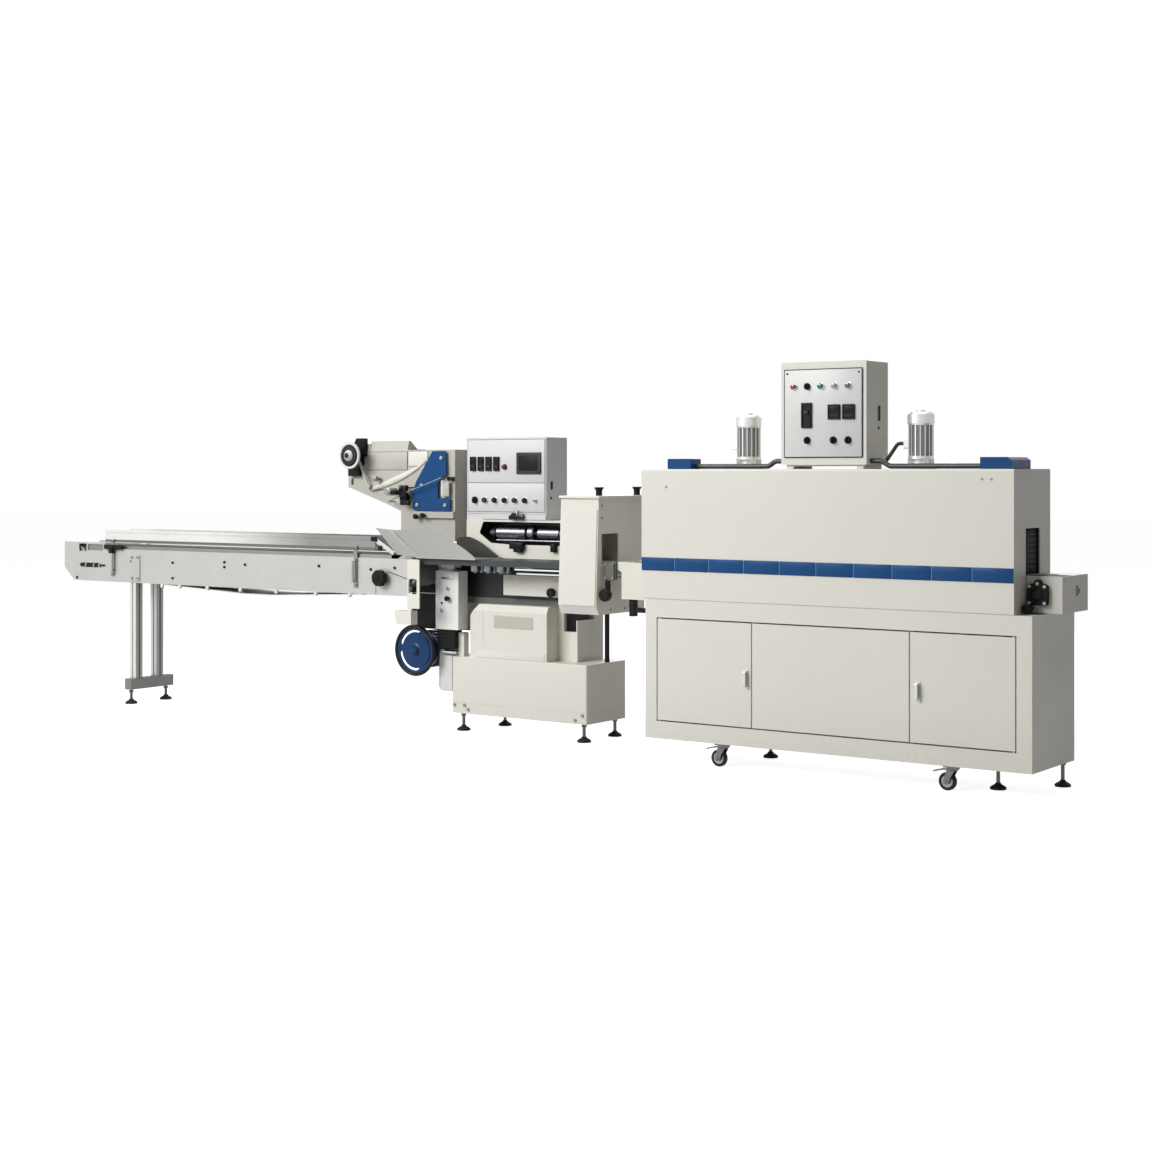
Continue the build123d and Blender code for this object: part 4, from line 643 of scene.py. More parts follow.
def turned(name, finish, profile, place=(0, 0, 0), facing="front", sides=24):
    """A round piece: a disc, extruded and resized from one (rise, radius) step to the next."""
    (rise, radius), *steps = profile
    deselect()
    bpy.ops.mesh.primitive_circle_add(vertices=sides, radius=radius, fill_type="NGON")
    piece = bpy.context.object
    bpy.ops.object.mode_set(mode="EDIT")
    for next_rise, next_radius in steps:
        extrude(next_rise - rise)
        share = next_radius / radius
        bpy.ops.transform.resize(value=(share, share, 1), center_override=(0, 0, next_rise))
        rise, radius = next_rise, next_radius
    bpy.ops.mesh.select_all(action="SELECT")
    bpy.ops.mesh.normals_make_consistent(inside=False)
    bpy.ops.object.mode_set(mode="OBJECT")
    return seat(piece, name, finish, facing, place)


def select_top(piece, height):
    """Selects, in edit mode, the flat faces at a height."""
    bpy.ops.mesh.select_mode(type="FACE")
    bpy.ops.mesh.select_all(action="DESELECT")
    for face in bmesh.from_edit_mesh(piece.data).faces:
        face.select_set(face.normal.z > 0.9 and face.calc_center_median().z > 0.99 * height)
    bmesh.update_edit_mesh(piece.data)


def slab(name, finish, size, place=(0, 0, 0), edge=0.001, sunk=None, facing="front", turn=0.0):
    """A flat piece: a cube sized, its edges eased and, where asked, a border left round a sunk face."""
    thickness = size[2]
    deselect()
    bpy.ops.mesh.primitive_cube_add(size=1)
    piece = bpy.context.object
    bpy.ops.object.mode_set(mode="EDIT")
    bpy.ops.transform.resize(value=size, center_override=(0, 0, 0))
    bpy.ops.transform.translate(value=(0, 0, thickness / 2))
    bpy.ops.mesh.bevel(offset=edge, segments=2, affect="EDGES")
    if sunk:
        border, depth = sunk
        select_top(piece, thickness)
        bpy.ops.mesh.inset(thickness=border)
        extrude(-depth)
    bpy.ops.object.mode_set(mode="OBJECT")
    return seat(piece, name, finish, facing, place, turn)


def blocks(*rows):
    """Slabs that face front, one for each row of name, finish, size, place and eased edge."""
    return [slab(*row) for row in rows]


def spread(piece, places):
    """Moves a piece to the first place, and copies of it, each with its own mesh, to the others."""
    made = [piece]
    for _ in places[1:]:
        twin = piece.copy()
        twin.data = piece.data.copy()
        bpy.context.collection.objects.link(twin)
        made.append(twin)
    for twin, place in zip(made, places):
        twin.data.transform(Matrix.Translation(place))
    return made


def gather(name, pieces, body="line", replaces=()):
    """Joins pieces into one that rides on a body, and may stand for nodes of the frame."""
    deselect()
    for piece in pieces:
        piece.select_set(True)
    bpy.context.view_layer.objects.active = pieces[0]
    if len(pieces) > 1:
        bpy.ops.object.join()
    whole = bpy.context.object
    whole.name = name
    whole.data.name = name
    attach(whole, body)
    if replaces:
        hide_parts(*replaces)
    print(name, len(whole.data.polygons), "faces")


print("kit ready")

# %% [markdown]
# ## Colours of lamps, glass and caps
# Push buttons and lamps are small, but they are the only strong colours besides the blue. Caps are glossy
# plastic with a little wear, and displays are dark glass over a black mask.

# %% Small bright finishes


def glossy(name, colour, roughness=0.18, coat=0.5, shine=0.5):
    finish = Finish(name)
    smear = finish.noise(60.0, 3.0)
    finish.set(Base_Color=finish.mix(smear, colour, darker(colour, 0.7)))
    finish.set(Roughness=roughness + 0.2 * (smear - 0.5))
    finish.set(Coat_Weight=coat, Coat_Roughness=0.08, Specular_IOR_Level=shine)
    return finish


red_cap = glossy("red cap", (0.36, 0.018, 0.016))
dark_red_cap = glossy("dark red cap", (0.055, 0.008, 0.012), 0.34, coat=0.05, shine=0.2)
green_cap = glossy("green cap", (0.02, 0.17, 0.08))
grey_cap = glossy("grey cap", (0.33, 0.33, 0.32))
white_plate = glossy("white plate", (0.66, 0.66, 0.62), 0.35)
glass = glossy("dark glass", (0.016, 0.013, 0.017), 0.42, coat=0.0, shine=0.10)
print("with caps and glass", len(bpy.data.materials), "materials")

# %% [markdown]
# ## Control panel of the wrapper
# The panel's door is two thin plates with a seam between them. The upper one carries four temperature
# regulators, a stop button and a touch screen, the lower one a row of switches. Every instrument is a
# slab with a sunk face or a turned cap, so that its bezel throws a real shadow.

# %% Panel plates and screens
panel_low, panel_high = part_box("control_box")
panel_middle = (panel_low.x + panel_high.x) / 2
DOOR_FACE = panel_low.y + 0.004
PLATE_SHEET = 0.0015
plate_face = DOOR_FACE - PLATE_SHEET
DOOR_WIDTH = 0.480
SEAL_MARGIN = 0.0022
PLATE_SPANS = ((1.101, 1.2430), (1.2455, 1.459))


def door_sheet(name, finish, bottom, top, margin, sheet, edge):
    """A sheet on the door that fills a span of heights, with a margin round it."""
    size = (DOOR_WIDTH + 2 * margin, top - bottom + 2 * margin, sheet)
    return slab(name, finish, size, (panel_middle, DOOR_FACE, (bottom + top) / 2), edge)


(seal_bottom, _), (_, seal_top) = PLATE_SPANS
seal = (seal_bottom, seal_top, SEAL_MARGIN, PLATE_SHEET / 3, 0.0002)
instruments = [door_sheet("panel seal", black_plastic, *seal)]
for span in PLATE_SPANS:
    instruments.append(door_sheet("door plate", panel_grey, *span, 0, PLATE_SHEET, 0.0005))

METER = (0.034, 0.071, 0.010)
METER_ROW = 1.3395
METER_PITCH = 0.0495
THUMB_WHEEL = (0.006, 0.012, 0.003)
WHEEL_SHIFTS = (-0.007, 0, 0.007)
SINK = 0.003
meter_face = plate_face - METER[2] + SINK
for index in range(4):
    x = panel_low.x + 0.0455 + METER_PITCH * index
    instruments += [
        slab("meter", black_plastic, METER, (x, plate_face, METER_ROW), sunk=(0.0035, SINK)),
        slab("meter window", glass, (0.019, 0.016, 0.002), (x, meter_face, METER_ROW + 0.018)),
    ]
    wheel = slab("thumb wheel", bezel_grey, THUMB_WHEEL, edge=0.0008)
    instruments += spread(wheel, [(x + shift, meter_face, METER_ROW - 0.014) for shift in WHEEL_SHIFTS])

SCREEN = (0.149, 0.107, 0.008)
SCREEN_GLASS = (0.118, 0.076, 0.0008)
screen_x, screen_z = panel_high.x - 0.1045, 1.3415
glass_place = (screen_x, plate_face - SCREEN[2] + SINK, screen_z)
instruments += [
    slab("screen bezel", bezel_grey, SCREEN, (screen_x, plate_face, screen_z), 0.002, (0.014, SINK)),
    slab("screen glass", glass, SCREEN_GLASS, glass_place, 0.0003),
]
print(len(instruments), "plates, meters and screens")

# %% [markdown]
# ## Buttons and switches
# A push button is a collar and a cap with a rounded face, and a turn switch is a dial with a raised grip
# across it. Their profiles give each radius as a share of the widest one, so that they serve every size.

# %% Buttons and switches
CAP_REACH = 0.016
COLLAR = [(0, 1), (0.003, 1), (0.005, 0.90), (0.005, 0.82), (0.003, 0.80)]
CAP = [(0, 0.76), (CAP_REACH - 0.004, 0.76), (CAP_REACH - 0.001, 0.68), (CAP_REACH, 0.42)]
DIAL = [(0, 1), (0.004, 1), (0.006, 0.9), (0.012, 0.8), (0.014, 0.7)]


def sized(profile, radius):
    return [(rise, share * radius) for rise, share in profile]


def button(cap, place, radius, collar=chrome):
    return [
        turned("collar", collar, sized(COLLAR, radius), place),
        turned("cap", cap, sized(CAP, radius), place),
    ]


def selector(place, radius):
    x, face, z = place
    return [
        turned("dial", black_plastic, sized(DIAL, radius), place),
        slab("grip", black_plastic, (0.4 * radius, 1.7 * radius, 0.010), (x, face - 0.012, z)),
    ]


SWITCH_ROW = 1.158
SWITCH_PITCH = 0.0630
caps = (None, bezel_grey, black_plastic, black_plastic, dark_red_cap, black_plastic, grey_cap)
instruments += button(bezel_grey, (0.024, plate_face, 1.324), 0.015, collar=red_cap)
for index, cap in enumerate(caps):
    radius = 0.012 if cap is grey_cap else 0.0175
    place = (panel_low.x + 0.057 + SWITCH_PITCH * index, plate_face, SWITCH_ROW)
    instruments += button(cap, place, radius) if cap else selector(place, radius)
gather("panel_instruments", instruments, replaces=["panel_controls"])

# %% [markdown]
# ## Control box of the tunnel
# The tunnel has its own box on the hood: a row of lamps and switches, a breaker, two temperature displays
# and three knobs. The same caps and dials serve again, at other places.

# %% Tunnel instruments
box_low, box_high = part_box("tunnel_control_box")
box_face = box_low.y
door_middle = (box_low.x + 0.203, box_face, 1.549)
instruments = blocks(
    ("door seal", black_plastic, (0.374, 0.378, 0.0004), door_middle, 0.0001),
    ("box door", white, (0.366, 0.370, 0.001), door_middle, 0.0004),
)
LAMP_ROW = box_high.z - 0.104
LAMP_PITCH = 0.065
for index, cap in enumerate((red_cap, None, green_cap, grey_cap, green_cap)):
    place = (box_low.x + 0.064 + LAMP_PITCH * index, box_face, LAMP_ROW)
    instruments += button(cap, place, 0.016) if cap else selector(place, 0.015)
KNOB_ROW = box_high.z - 0.334
for x in (0.129, 0.254, 0.323):
    instruments += selector((box_low.x + x, box_face, KNOB_ROW), 0.016)

breaker_x, breaker_z = box_low.x + 0.127, box_high.z - 0.2275
breaker = (breaker_x, box_face, breaker_z)
toggle = (breaker_x, box_face - 0.006, breaker_z + 0.012)
instruments += [
    slab("breaker", black_plastic, (0.048, 0.107, 0.010), breaker, sunk=(0.006, 0.004)),
    slab("toggle", bezel_grey, (0.022, 0.016, 0.009), toggle, 0.002),
]
DISPLAY_ROW = box_high.z - 0.2145
KEY = (0.007, 0.005, 0.002)
KEY_PITCH = 0.011
display_face = box_face - 0.007
for x in (box_low.x + 0.258, box_low.x + 0.327):
    display = (x, box_face, DISPLAY_ROW)
    window = (x, display_face, DISPLAY_ROW + 0.012)
    instruments += [
        slab("display", black_plastic, (0.056, 0.063, 0.010), display, sunk=(0.004, SINK)),
        slab("display glass", glass, (0.044, 0.026, 0.001), window, 0.0004),
    ]
    key_xs = [x - 0.0165 + KEY_PITCH * step for step in range(4)]
    key = slab("key", bezel_grey, KEY, edge=0.0008)
    instruments += spread(key, [(key_x, display_face, DISPLAY_ROW - 0.017) for key_x in key_xs])
gather("tunnel_instruments", instruments, replaces=["tunnel_controls"])

# %% [markdown]
# ## The blue band
# The band along the hood is a row of separate enamelled strips, and a paler backing shows in the joints.
# Real strips have soft edges that catch the light, so each is a slab with a bevel, modelled once and
# copied along.

# %% Blue band
band_low, band_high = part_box("hood_stripe")
STRIP_COUNT = 10
JOINT = 0.0035
length, depth, height = band_high - band_low
pitch = length / STRIP_COUNT
middle_x, _, middle_z = (band_low + band_high) / 2
backing_size = (length - 0.002, height - 0.002, 0.0015)
backing = slab("joint backing", joint_blue, backing_size, (middle_x, band_high.y, middle_z), 0.0004)
strip = slab("strip", blue, (pitch - JOINT, height, depth), edge=0.0012)
row = [(band_low.x + pitch * (index + 0.5), band_high.y, middle_z) for index in range(STRIP_COUNT)]
gather("blue_band", [backing] + spread(strip, row), replaces=["hood_stripe"])

# %% [markdown]
# ## Screws
# Screws tell the eye how big a machine is. One head is turned with a sunk socket, and copies go wherever
# a plate is bolted on. They stand a few millimetres proud, as real ones do.

# %% Socket-head screws
HEAD = [(0, 1), (0.75, 1), (0.9, 0.88), (0.9, 0.55), (0.35, 0.5)]


def screws(name, finish, radius, places, facing="front"):
    profile = [(rise * radius, share * radius) for rise, share in HEAD]
    screw = turned("screw", finish, profile, facing=facing, sides=12)
    gather(name, spread(screw, places))


def on_face(y, spots):
    return [(x, y, z) for x, z in spots]


guard_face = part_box("film_guard_plate")[0].y
GUARD_SCREWS = ((-0.370, 1.370), (-0.500, 1.230), (-0.345, 1.130), (-0.530, 1.130))
screws("guard_screws", white_plate, 0.009, on_face(guard_face, GUARD_SCREWS))

side_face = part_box("infeed_side_plates")[0].y
SIDE_SCREWS = (
    (-2.883, 0.693), (-2.424, 0.796), (-2.089, 0.798), (-2.089, 0.713), (-1.686, 0.812),
    (-1.686, 0.786), (-1.530, 0.803), (-0.993, 0.812), (-0.637, 0.805), (-0.477, 0.817),
)
screws("side_plate_screws", black_steel, 0.007, on_face(side_face, SIDE_SCREWS))
strap_face = side_face - 0.006
strap_spots = product((-2.574, -0.737), (0.722, 0.745, 0.852))
post_spots = product((-2.412, -2.366), (0.704, 0.820))
screws("strap_screws", zinc, 0.007, on_face(strap_face, (*strap_spots, *post_spots)))

base_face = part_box("base_cabinet")[0].y
BASE_SCREWS = ((-0.239, 0.130), (-0.175, 0.132), (-0.152, 0.112), (0.547, 0.132), (0.504, 0.108))
screws("base_screws", zinc, 0.008, on_face(base_face, BASE_SCREWS))

HOOD_SCREWS = ((1.202, 1.233), (2.708, 1.272), (2.747, 1.272))
screws("hood_screws", zinc, 0.005, on_face(hood_low.y, HOOD_SCREWS))
screws("box_screws", black_steel, 0.004, on_face(box_face, ((1.808, 1.720), (2.150, 1.720))))

gear_low, gear_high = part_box("outfeed_gearbox")
GEAR_INSET = 0.012
gear_xs = (gear_low.x + GEAR_INSET, gear_high.x - GEAR_INSET)
gear_zs = (gear_low.z + GEAR_INSET, gear_high.z - GEAR_INSET)
screws("gearbox_screws", zinc, 0.005, on_face(gear_low.y, product(gear_xs, gear_zs)))

BEARING = (2.895, 0.808)
bearing_spots = [(BEARING[0] + x, BEARING[1] + z) for x in (-0.032, 0.032) for z in (-0.033, 0.033)]
bearing_places = on_face(-0.186, bearing_spots) + [(BEARING[0], -0.182, 0.852)]
screws("bearing_screws", zinc, 0.007, bearing_places)

jaw_low, jaw_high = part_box("jaw_housing")
jaw_places = [(jaw_high.x, jaw_low.y + 0.02, z) for z in (1.086, 1.143)]
jaw_places += [(jaw_high.x, y, jaw_low.z + 0.02) for y in (-0.10, 0.02, 0.13)]
screws("jaw_screws", zinc, 0.006, jaw_places, "right")

# %% [markdown]
# ## Handwheel dish
# The wheel's web is dished sheet, painted like the motor behind it. The frame has the spokes; the dish is
# one turned piece that closes the middle of the wheel and turns with it.

# %% Handwheel dish
wheel_x, wheel_z = axis_of("handwheel_turn")
DISH = [(0, 0.090), (0.002, 0.092), (0.004, 0.090), (0.006, 0.060), (0.007, 0.040)]
dish = turned("dish", deep_blue, DISH, (wheel_x, -0.062, wheel_z), sides=40)
gather("wheel_dish", [dish], body="handwheel")

# %% [markdown]
# ## Fittings of the infeed
# A black clamp holds the guide rails on their strap, and levers lock both straps. A threaded rod with
# nuts tightens the chain at the tail, and small clips carry the return tray. Each is a slab or a turned
# rod with soft edges; nuts and clips repeat as copies.

# %% Infeed fittings


def rod(name, finish, start, length, radius, facing="right"):
    """A turned bar with eased ends, along X when it faces right."""
    ease = 0.15 * radius
    profile = [(0, radius - ease), (ease, radius), (length - ease, radius), (length, radius - ease)]
    return turned(name, finish, profile, start, facing, 20)


CLAMP_X = -2.560
clamps = blocks(
    ("clamp", black_plastic, (0.150, 0.026, 0.014), (CLAMP_X, strap_face, 0.874), 0.003),
    ("grip block", black_plastic, (0.034, 0.040, 0.020), (CLAMP_X - 0.012, strap_face, 0.858), 0.004),
)
for x in (-2.564, -0.744):
    clamps.append(rod("clamp lever", zinc, (x, strap_face - 0.014, 0.735), 0.110, 0.005, "up"))
gather("rail_clamps", clamps)

SLOT_Z = 0.767
rod_face = side_face - 0.004
NUT = [(0, 0.010), (0.001, 0.011), (0.009, 0.011), (0.010, 0.010)]
nut = turned("nut", zinc, NUT, facing="right", sides=6)
tension = [rod("tension rod", black_steel, (-2.850, rod_face, SLOT_Z), 0.205, 0.005)]
tension += spread(nut, [(x, rod_face, SLOT_Z) for x in (-2.802, -2.735, -2.690)])
BLOCK = (0.075, 0.020, 0.006)
tension.append(slab("tension block", black_plastic, BLOCK, (-2.795, side_face, SLOT_Z), 0.002))
gather("tail_tension", tension)

clip_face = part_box("return_tray")[0].y + 0.004
CLIP_Z = 0.668
CLIP_XS = (-2.171, -2.031, -1.815, -1.563, -1.298, -1.015, -0.781)
clip = slab("clip", white, (0.020, 0.020, 0.012), edge=0.002)
gather("tray_clips", spread(clip, [(x, clip_face, CLIP_Z) for x in CLIP_XS]))

# %% [markdown]
# ## Film side
# The arm's covers are thin plates on dark sheets that are a little larger, which draws their joints without
# cutting the solid. A flat bar leads the film up to the guard. The small fittings are a pale label holder,
# the reel brake with its blocks and pin, and two clamping knobs on the ledge.

# %% Film side fittings
WALL_FACE = 0.054
JOINT_MARGIN = 0.002


def strut(name, finish, start, end, width, thickness, face):
    """A flat bar that faces front, from one (x, z) to another."""
    across, up = end[0] - start[0], end[1] - start[1]
    middle = ((start[0] + end[0]) / 2, face, (start[1] + end[1]) / 2)
    size = (math.hypot(across, up), width, thickness)
    return slab(name, finish, size, middle, 0.002, turn=math.atan2(up, across))


def jointed_plate(finish, left, right, bottom, top):
    """A plate on the arm that faces front, on a dark sheet that shows round its edge."""
    middle = ((left + right) / 2, WALL_FACE, (bottom + top) / 2)
    width, height = right - left, top - bottom
    under = (width + 2 * JOINT_MARGIN, height + 2 * JOINT_MARGIN, 0.0008)
    return blocks(
        ("joint", black_plastic, under, middle, 0.0003),
        ("plate", finish, (width, height, 0.004), middle, 0.001),
    )


# The first arm cover is in the darker cream, as painted shade.
arm_covers = jointed_plate(shaded_cream, -0.885, -0.612, 1.310, 1.402)
arm_covers += jointed_plate(cream, -0.602, -0.475, 1.330, 1.404)
arm_covers.append(strut("film bar", cream, (-0.846, 1.207), (-0.471, 1.340), 0.020, 0.012, WALL_FACE))
gather("arm_covers", arm_covers)

film_bits = blocks(
    ("label holder", white, (0.022, 0.080, 0.004), (-0.360, guard_face, 1.215), 0.001),
    # The notch plate is in the darker cream, as painted shade.
    ("notch plate", shaded_cream, (0.040, 0.076, 0.008), (-0.338, guard_face + 0.002, 1.212), 0.002),
    ("notch clip", black_steel, (0.045, 0.020, 0.010), (-0.306, guard_face + 0.002, 1.264), 0.002),
    ("brake block", black_plastic, (0.046, 0.060, 0.022), (-0.600, 0.020, 1.200), 0.003),
    ("brake foot", black_plastic, (0.060, 0.024, 0.016), (-0.592, 0.020, 1.140), 0.003),
)
PIN = [(0, 0.008), (0.020, 0.008), (0.024, 0.006)]
KNOB = [(0, 0.006), (0.008, 0.006), (0.009, 0.012), (0.022, 0.013), (0.025, 0.010)]
film_bits.append(turned("brake pin", zinc, PIN, (-0.612, 0.000, 1.215)))
for x, z in ((-0.532, 1.070), (-0.486, 1.076)):
    film_bits.append(turned("ledge knob", black_plastic, KNOB, (x, 0.038, z)))
gather("film_fittings", film_bits)

# %% [markdown]
# ## Front of the wrapper
# Under the panel hangs an air regulator with two gauges, and black bearing blocks carry the rollers. Two
# ground shafts run from the crimping wheels through the jaws to the conveyor. The gear housing has its
# dials, and the pedestal a bare name plate and a thin flange at its foot.

# %% Wrapper fittings
GAUGE = [(0, 0.011), (0.012, 0.011), (0.013, 0.014), (0.020, 0.014), (0.021, 0.012), (0.019, 0.011)]
VALVE = [(0, 0.007), (0.024, 0.007), (0.028, 0.005)]
front_bits = blocks(
    ("regulator", black_plastic, (0.080, 0.020, 0.020), (0.104, panel_low.y, 1.074), 0.003),
    ("bearing", black_plastic, (0.079, 0.033, 0.030), (0.110, WALL_FACE, 0.934), 0.004),
    ("bearing foot", black_plastic, (0.046, 0.018, 0.026), (0.116, WALL_FACE, 0.912), 0.003),
    ("stop", black_plastic, (0.028, 0.042, 0.022), (0.331, WALL_FACE, 0.928), 0.003),
)
for x, finish in ((0.092, black_plastic), (0.136, dark_chrome)):
    front_bits.append(turned("gauge", finish, GAUGE, (x, panel_low.y, 1.083)))
front_bits += [
    turned("valve", dark_chrome, VALVE, (0.112, panel_low.y - 0.012, 1.080), "up"),
    rod("upper shaft", chrome, (0.205, -0.100, 0.828), 0.828, 0.008),
    rod("lower shaft", chrome, (0.205, -0.085, 0.806), 0.806, 0.006),
    rod("cable tube", zinc, (-0.315, -0.030, 0.392), 0.100, 0.009),
]
gather("wrapper_fittings", front_bits)

# %% Dials, name plate and flange
drive_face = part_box("drive_box")[0].y
RING = [(0, 0.011), (0.003, 0.011), (0.004, 0.009), (0.002, 0.008)]
PLUG = [(0, 0.006), (0.002, 0.006), (0.003, 0.004)]
DIALS = (
    ("upper ring", zinc, RING, -0.248, 0.714),
    ("lower ring", zinc, RING, -0.288, 0.602),
    ("drive knob", black_plastic, KNOB, -0.243, 0.665),
    ("plug", black_plastic, PLUG, -0.288, 0.640),
)
dials = [slab("dial plate", zinc, (0.074, 0.012, 0.002), (-0.255, drive_face, 0.766), 0.0006)]
for name, finish, profile, x, z in DIALS:
    dials.append(turned(name, finish, profile, (x, drive_face, z)))
gather("drive_dials", dials)

pedestal_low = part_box("pedestal")[0]
NAME_PLATE = (0.240, 0.062, 0.0015)
RIVET = [(0, 0.003), (0.001, 0.003), (0.0018, 0.0015)]
plate_x, plate_z = 0.1225, 0.557
plate_place = (plate_x, pedestal_low.y, plate_z)
name_plate = slab("name plate", plate_metal, NAME_PLATE, plate_place, 0.0005, (0.004, 0.0005))
rivet = turned("rivet", zinc, RIVET, sides=12)
rivet_spots = [(plate_x + x, plate_z + z) for x in (-0.113, 0.113) for z in (-0.024, 0.024)]
rivets = spread(rivet, on_face(pedestal_low.y - 0.001, rivet_spots))
gather("name_plate", [name_plate] + rivets)

FLANGE = (0.420, 0.034, 0.0025)
flange_x = pedestal_low.x + 0.044 + FLANGE[0] / 2
flange_z = pedestal_low.z + FLANGE[1] / 2 + 0.001
flange = slab("flange", cream, FLANGE, (flange_x, pedestal_low.y, flange_z), 0.0008)
gather("pedestal_flange", [flange])

# %% [markdown]
# ## Guards and the former's stays
# A black guard plate, painted shade, stands between the infeed's end and the drive box, and a skirt in the
# darker cream of painted shade closes the gap behind the gear housing. The former's fold catches the light
# as a thin bead, and a stay with a black clamp ties it to the end of the rail. A black strip lies in the
# recess by the infeed's knob as painted shadow under the plate's edge: a flat bar, turned to the slope that
# it follows.

# %% Guards and stays
GUARD = (0.157, 0.226, 0.020)
GUARD_PLACE = (-0.4865, 0.0535, 0.611)
# A black plate where shade falls between the infeed's end and the drive box: painted shade.
shade_guard = slab("shade guard", black_steel, GUARD, GUARD_PLACE, 0.002, (0.008, 0.002))
gather("shade_guard", [shade_guard])
# The skirt is in the darker cream, as painted shade.
skirt = slab("skirt", shaded_cream, (0.184, 0.148, 0.006), (-0.242, 0.106, 0.568))
gather("drive_skirt", [skirt])

FOLD_START = Vector((-0.443, -0.266, 1.003))
FOLD_END = Vector((-0.325, -0.211, 0.885))
BEAD = 0.002
run = FOLD_END - FOLD_START
bead_profile = [(0, 0.8 * BEAD), (0.2 * BEAD, BEAD), (run.length, BEAD)]
bead = turned("fold bead", stainless, bead_profile, facing="up", sides=10)
bead.data.transform(Matrix.Translation(FOLD_START) @ run.to_track_quat("Z", "Y").to_matrix().to_4x4())
STAY = ((-0.598, 0.953), (-0.480, 0.889))
stays = [bead, strut("former stay", white, *STAY, 0.022, 0.004, strap_face + 0.003)]
stays += blocks(
    ("end clamp", black_plastic, (0.034, 0.024, 0.014), (-0.606, strap_face, 0.960), 0.003),
    ("stay clamp", black_plastic, (0.024, 0.026, 0.010), (-0.566, strap_face, 0.914), 0.003),
)
gather("former_stays", stays)

RECESS_FLOOR = side_face + 0.003
# A black strip on the recess floor under the plate's edge, as painted shadow.
SHADOW_STRIP_RUN = ((-0.5266, 0.7987), (-0.3930, 0.7623))
recess_shadow_strip = strut("recess shadow strip", black_plastic, *SHADOW_STRIP_RUN, 0.004, 0.002, RECESS_FLOOR)
gather("recess_shadow_strip", [recess_shadow_strip])

# %% [markdown]
# ## Locks and heat curtain
# Both control boxes lock at the side. In the mouths of the hot chamber hang rows of black strips with
# cross wires, which keep the heat in and let the product push through.

# %% Locks and curtain
LOCKS = ((panel_high.x, 0.097, 1.2325, 0.040), (box_high.x, -0.155, 1.548, 0.064))
locks = []
for x, y, z, length in LOCKS:
    latch = (x, y - 0.004, z - 0.062)
    locks.append(slab("lock", black_plastic, (length, 0.014, 0.004), (x, y, z), facing="right"))
    locks.append(slab("lock latch", black_plastic, (0.012, 0.009, 0.003), latch, 0.0008, facing="right"))
gather("box_locks", locks)

MOUTHS = (1.0840, 2.8300)
near, far = -0.170, -0.032
low_edge, top_edge = 0.892, 1.066
STRIPS = 8
WIRES = 7
WIRE_PITCH = 0.022
step = (far - near) / STRIPS
middle_y, middle_z = (near + far) / 2, (low_edge + top_edge) / 2
hanging = slab("strip", rubber, (top_edge - low_edge, step - 0.004, 0.002), edge=0.0005, facing="right")
wire = slab("wire", black_steel, (0.003, far - near, 0.002), edge=0.0005, facing="right")
strip_ys = [near + step * (index + 0.5) for index in range(STRIPS)]
wire_zs = [low_edge + WIRE_PITCH * (index + 1) for index in range(WIRES)]
curtain = spread(hanging, [(x, y, middle_z) for x in MOUTHS for y in strip_ys])
curtain += spread(wire, [(x + 0.0015, middle_y, z) for x in MOUTHS for z in wire_zs])
gather("heat_curtains", curtain)

# %% [markdown]
# ## Service covers at the back
# A machine like this is serviced from the back. Thin covers are screwed on behind the drives and the
# switchgear, and the tunnel's cabinet breathes through rows of louvres. A cover is a slab, and one louvre
# is modelled and copied.

# %% Service covers
COVER_SHEET = 0.003
SCREW_INSET = 0.015
covers = []
cover_screws = []


def cover(finish, left, right, bottom, top, face):
    """A screwed cover that faces the back."""
    size = (right - left, top - bottom, COVER_SHEET)
    middle_x = (left + right) / 2
    covers.append(slab("cover", finish, size, (middle_x, face, (bottom + top) / 2), facing="back"))
    for x in (left + SCREW_INSET, middle_x, right - SCREW_INSET):
        for z in (bottom + SCREW_INSET, top - SCREW_INSET):
            cover_screws.append((x, face + COVER_SHEET, z))


def cover_back(finish, low, high, left, right, bottom, top):
    """A cover on the back of a box, set in from its edges."""
    cover(finish, low.x + left, high.x - right, low.z + bottom, high.z - top, high.y)


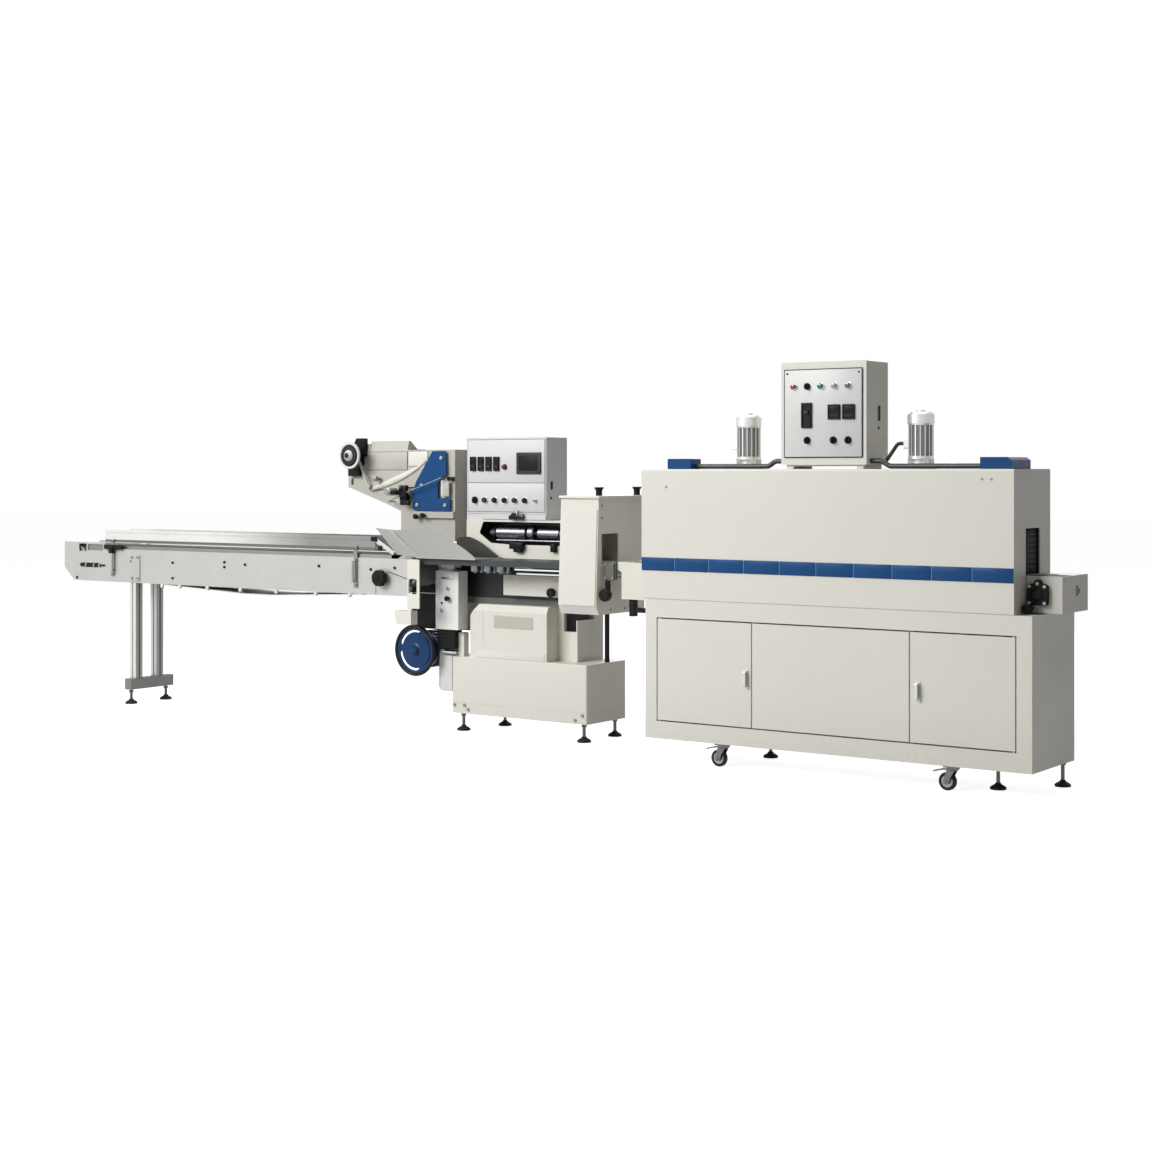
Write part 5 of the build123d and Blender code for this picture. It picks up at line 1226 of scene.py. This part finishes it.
cover_back(cream, *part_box("machine_wall"), 0.03, 0.04, 0.02, 0.02)
cover_back(panel_grey, panel_low, panel_high, 0.02, 0.02, 0.02, 0.02)
cover_back(cream, hood_low, hood_high, 0.08, 0.08, 0.06, 0.05)
CABINET_COVERS = ((1.140, 1.980), (2.030, 2.870))
LOUVRE_ROWS = [0.300 + 0.028 * index for index in range(8)]
wrap_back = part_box("cabinet_wrap")[1].y
louvre = slab("louvre", cream, (0.240, 0.012, 0.007), edge=0.003, facing="back")
louvre_places = []
for left, right in CABINET_COVERS:
    cover(cream, left, right, 0.150, 0.690, wrap_back)
    louvre_places += [((left + right) / 2, wrap_back + COVER_SHEET, z) for z in LOUVRE_ROWS]
gather("service_covers", covers + spread(louvre, louvre_places))
screws("cover_screws", zinc, 0.005, cover_screws, "back")

# %% [markdown]
# ## Floor and light
# A machine photographed for a catalogue stands on white. The floor glows only for rays that reach the
# eye, just enough to turn white where light falls on it, so the shadow under the machine stays. One large
# lamp at the front left models the forms, and a pale world fills the rest.

# %% Floor
FLOOR_SIDE = 80.0
FLOOR_GLOW = 0.85

deselect()
bpy.ops.mesh.primitive_plane_add(size=FLOOR_SIDE, location=(0, 0, -0.001))
floor = bpy.context.object
floor.name = "studio_floor"
studio = Finish("studio floor")
seen = studio.seen()
glow = studio.node("CombineColor", sockets={0: seen, 1: seen, 2: seen})
studio.set(Base_Color=(0.45, 0.45, 0.45), Roughness=0.9)
studio.set(Emission_Color=glow, Emission_Strength=FLOOR_GLOW)
paint(floor, studio)
print("floor", FLOOR_SIDE, "m")

# %% Lamps and world
AMBIENT = 0.11


def lamp(name, place, aim, size, watts):
    bpy.ops.object.light_add(type="AREA", location=place)
    made = bpy.context.object
    made.name = name
    made.data.shape = "RECTANGLE"
    made.data.size, made.data.size_y = size
    made.data.energy = watts
    made.rotation_euler = (Vector(aim) - Vector(place)).to_track_quat("-Z", "Y").to_euler()


lamp("key_lamp", (-3.5, -8.0, 5.5), (0.3, 0, 0.8), (6.0, 4.0), 1010)
lamp("top_lamp", (0.5, -1.0, 6.5), (0.3, 0, 0.8), (9.0, 4.0), 150)
lamp("back_lamp", (-2.0, 7.0, 4.0), (0, 0, 0.9), (6.0, 3.0), 220)

sky = Finish("studio", "worlds", "Background")
sky.set(Color=(1, 1, 1), Strength=AMBIENT + (1 - AMBIENT) * sky.seen())
bpy.context.scene.world = sky.owner
bpy.context.scene.view_settings.view_transform = "Standard"
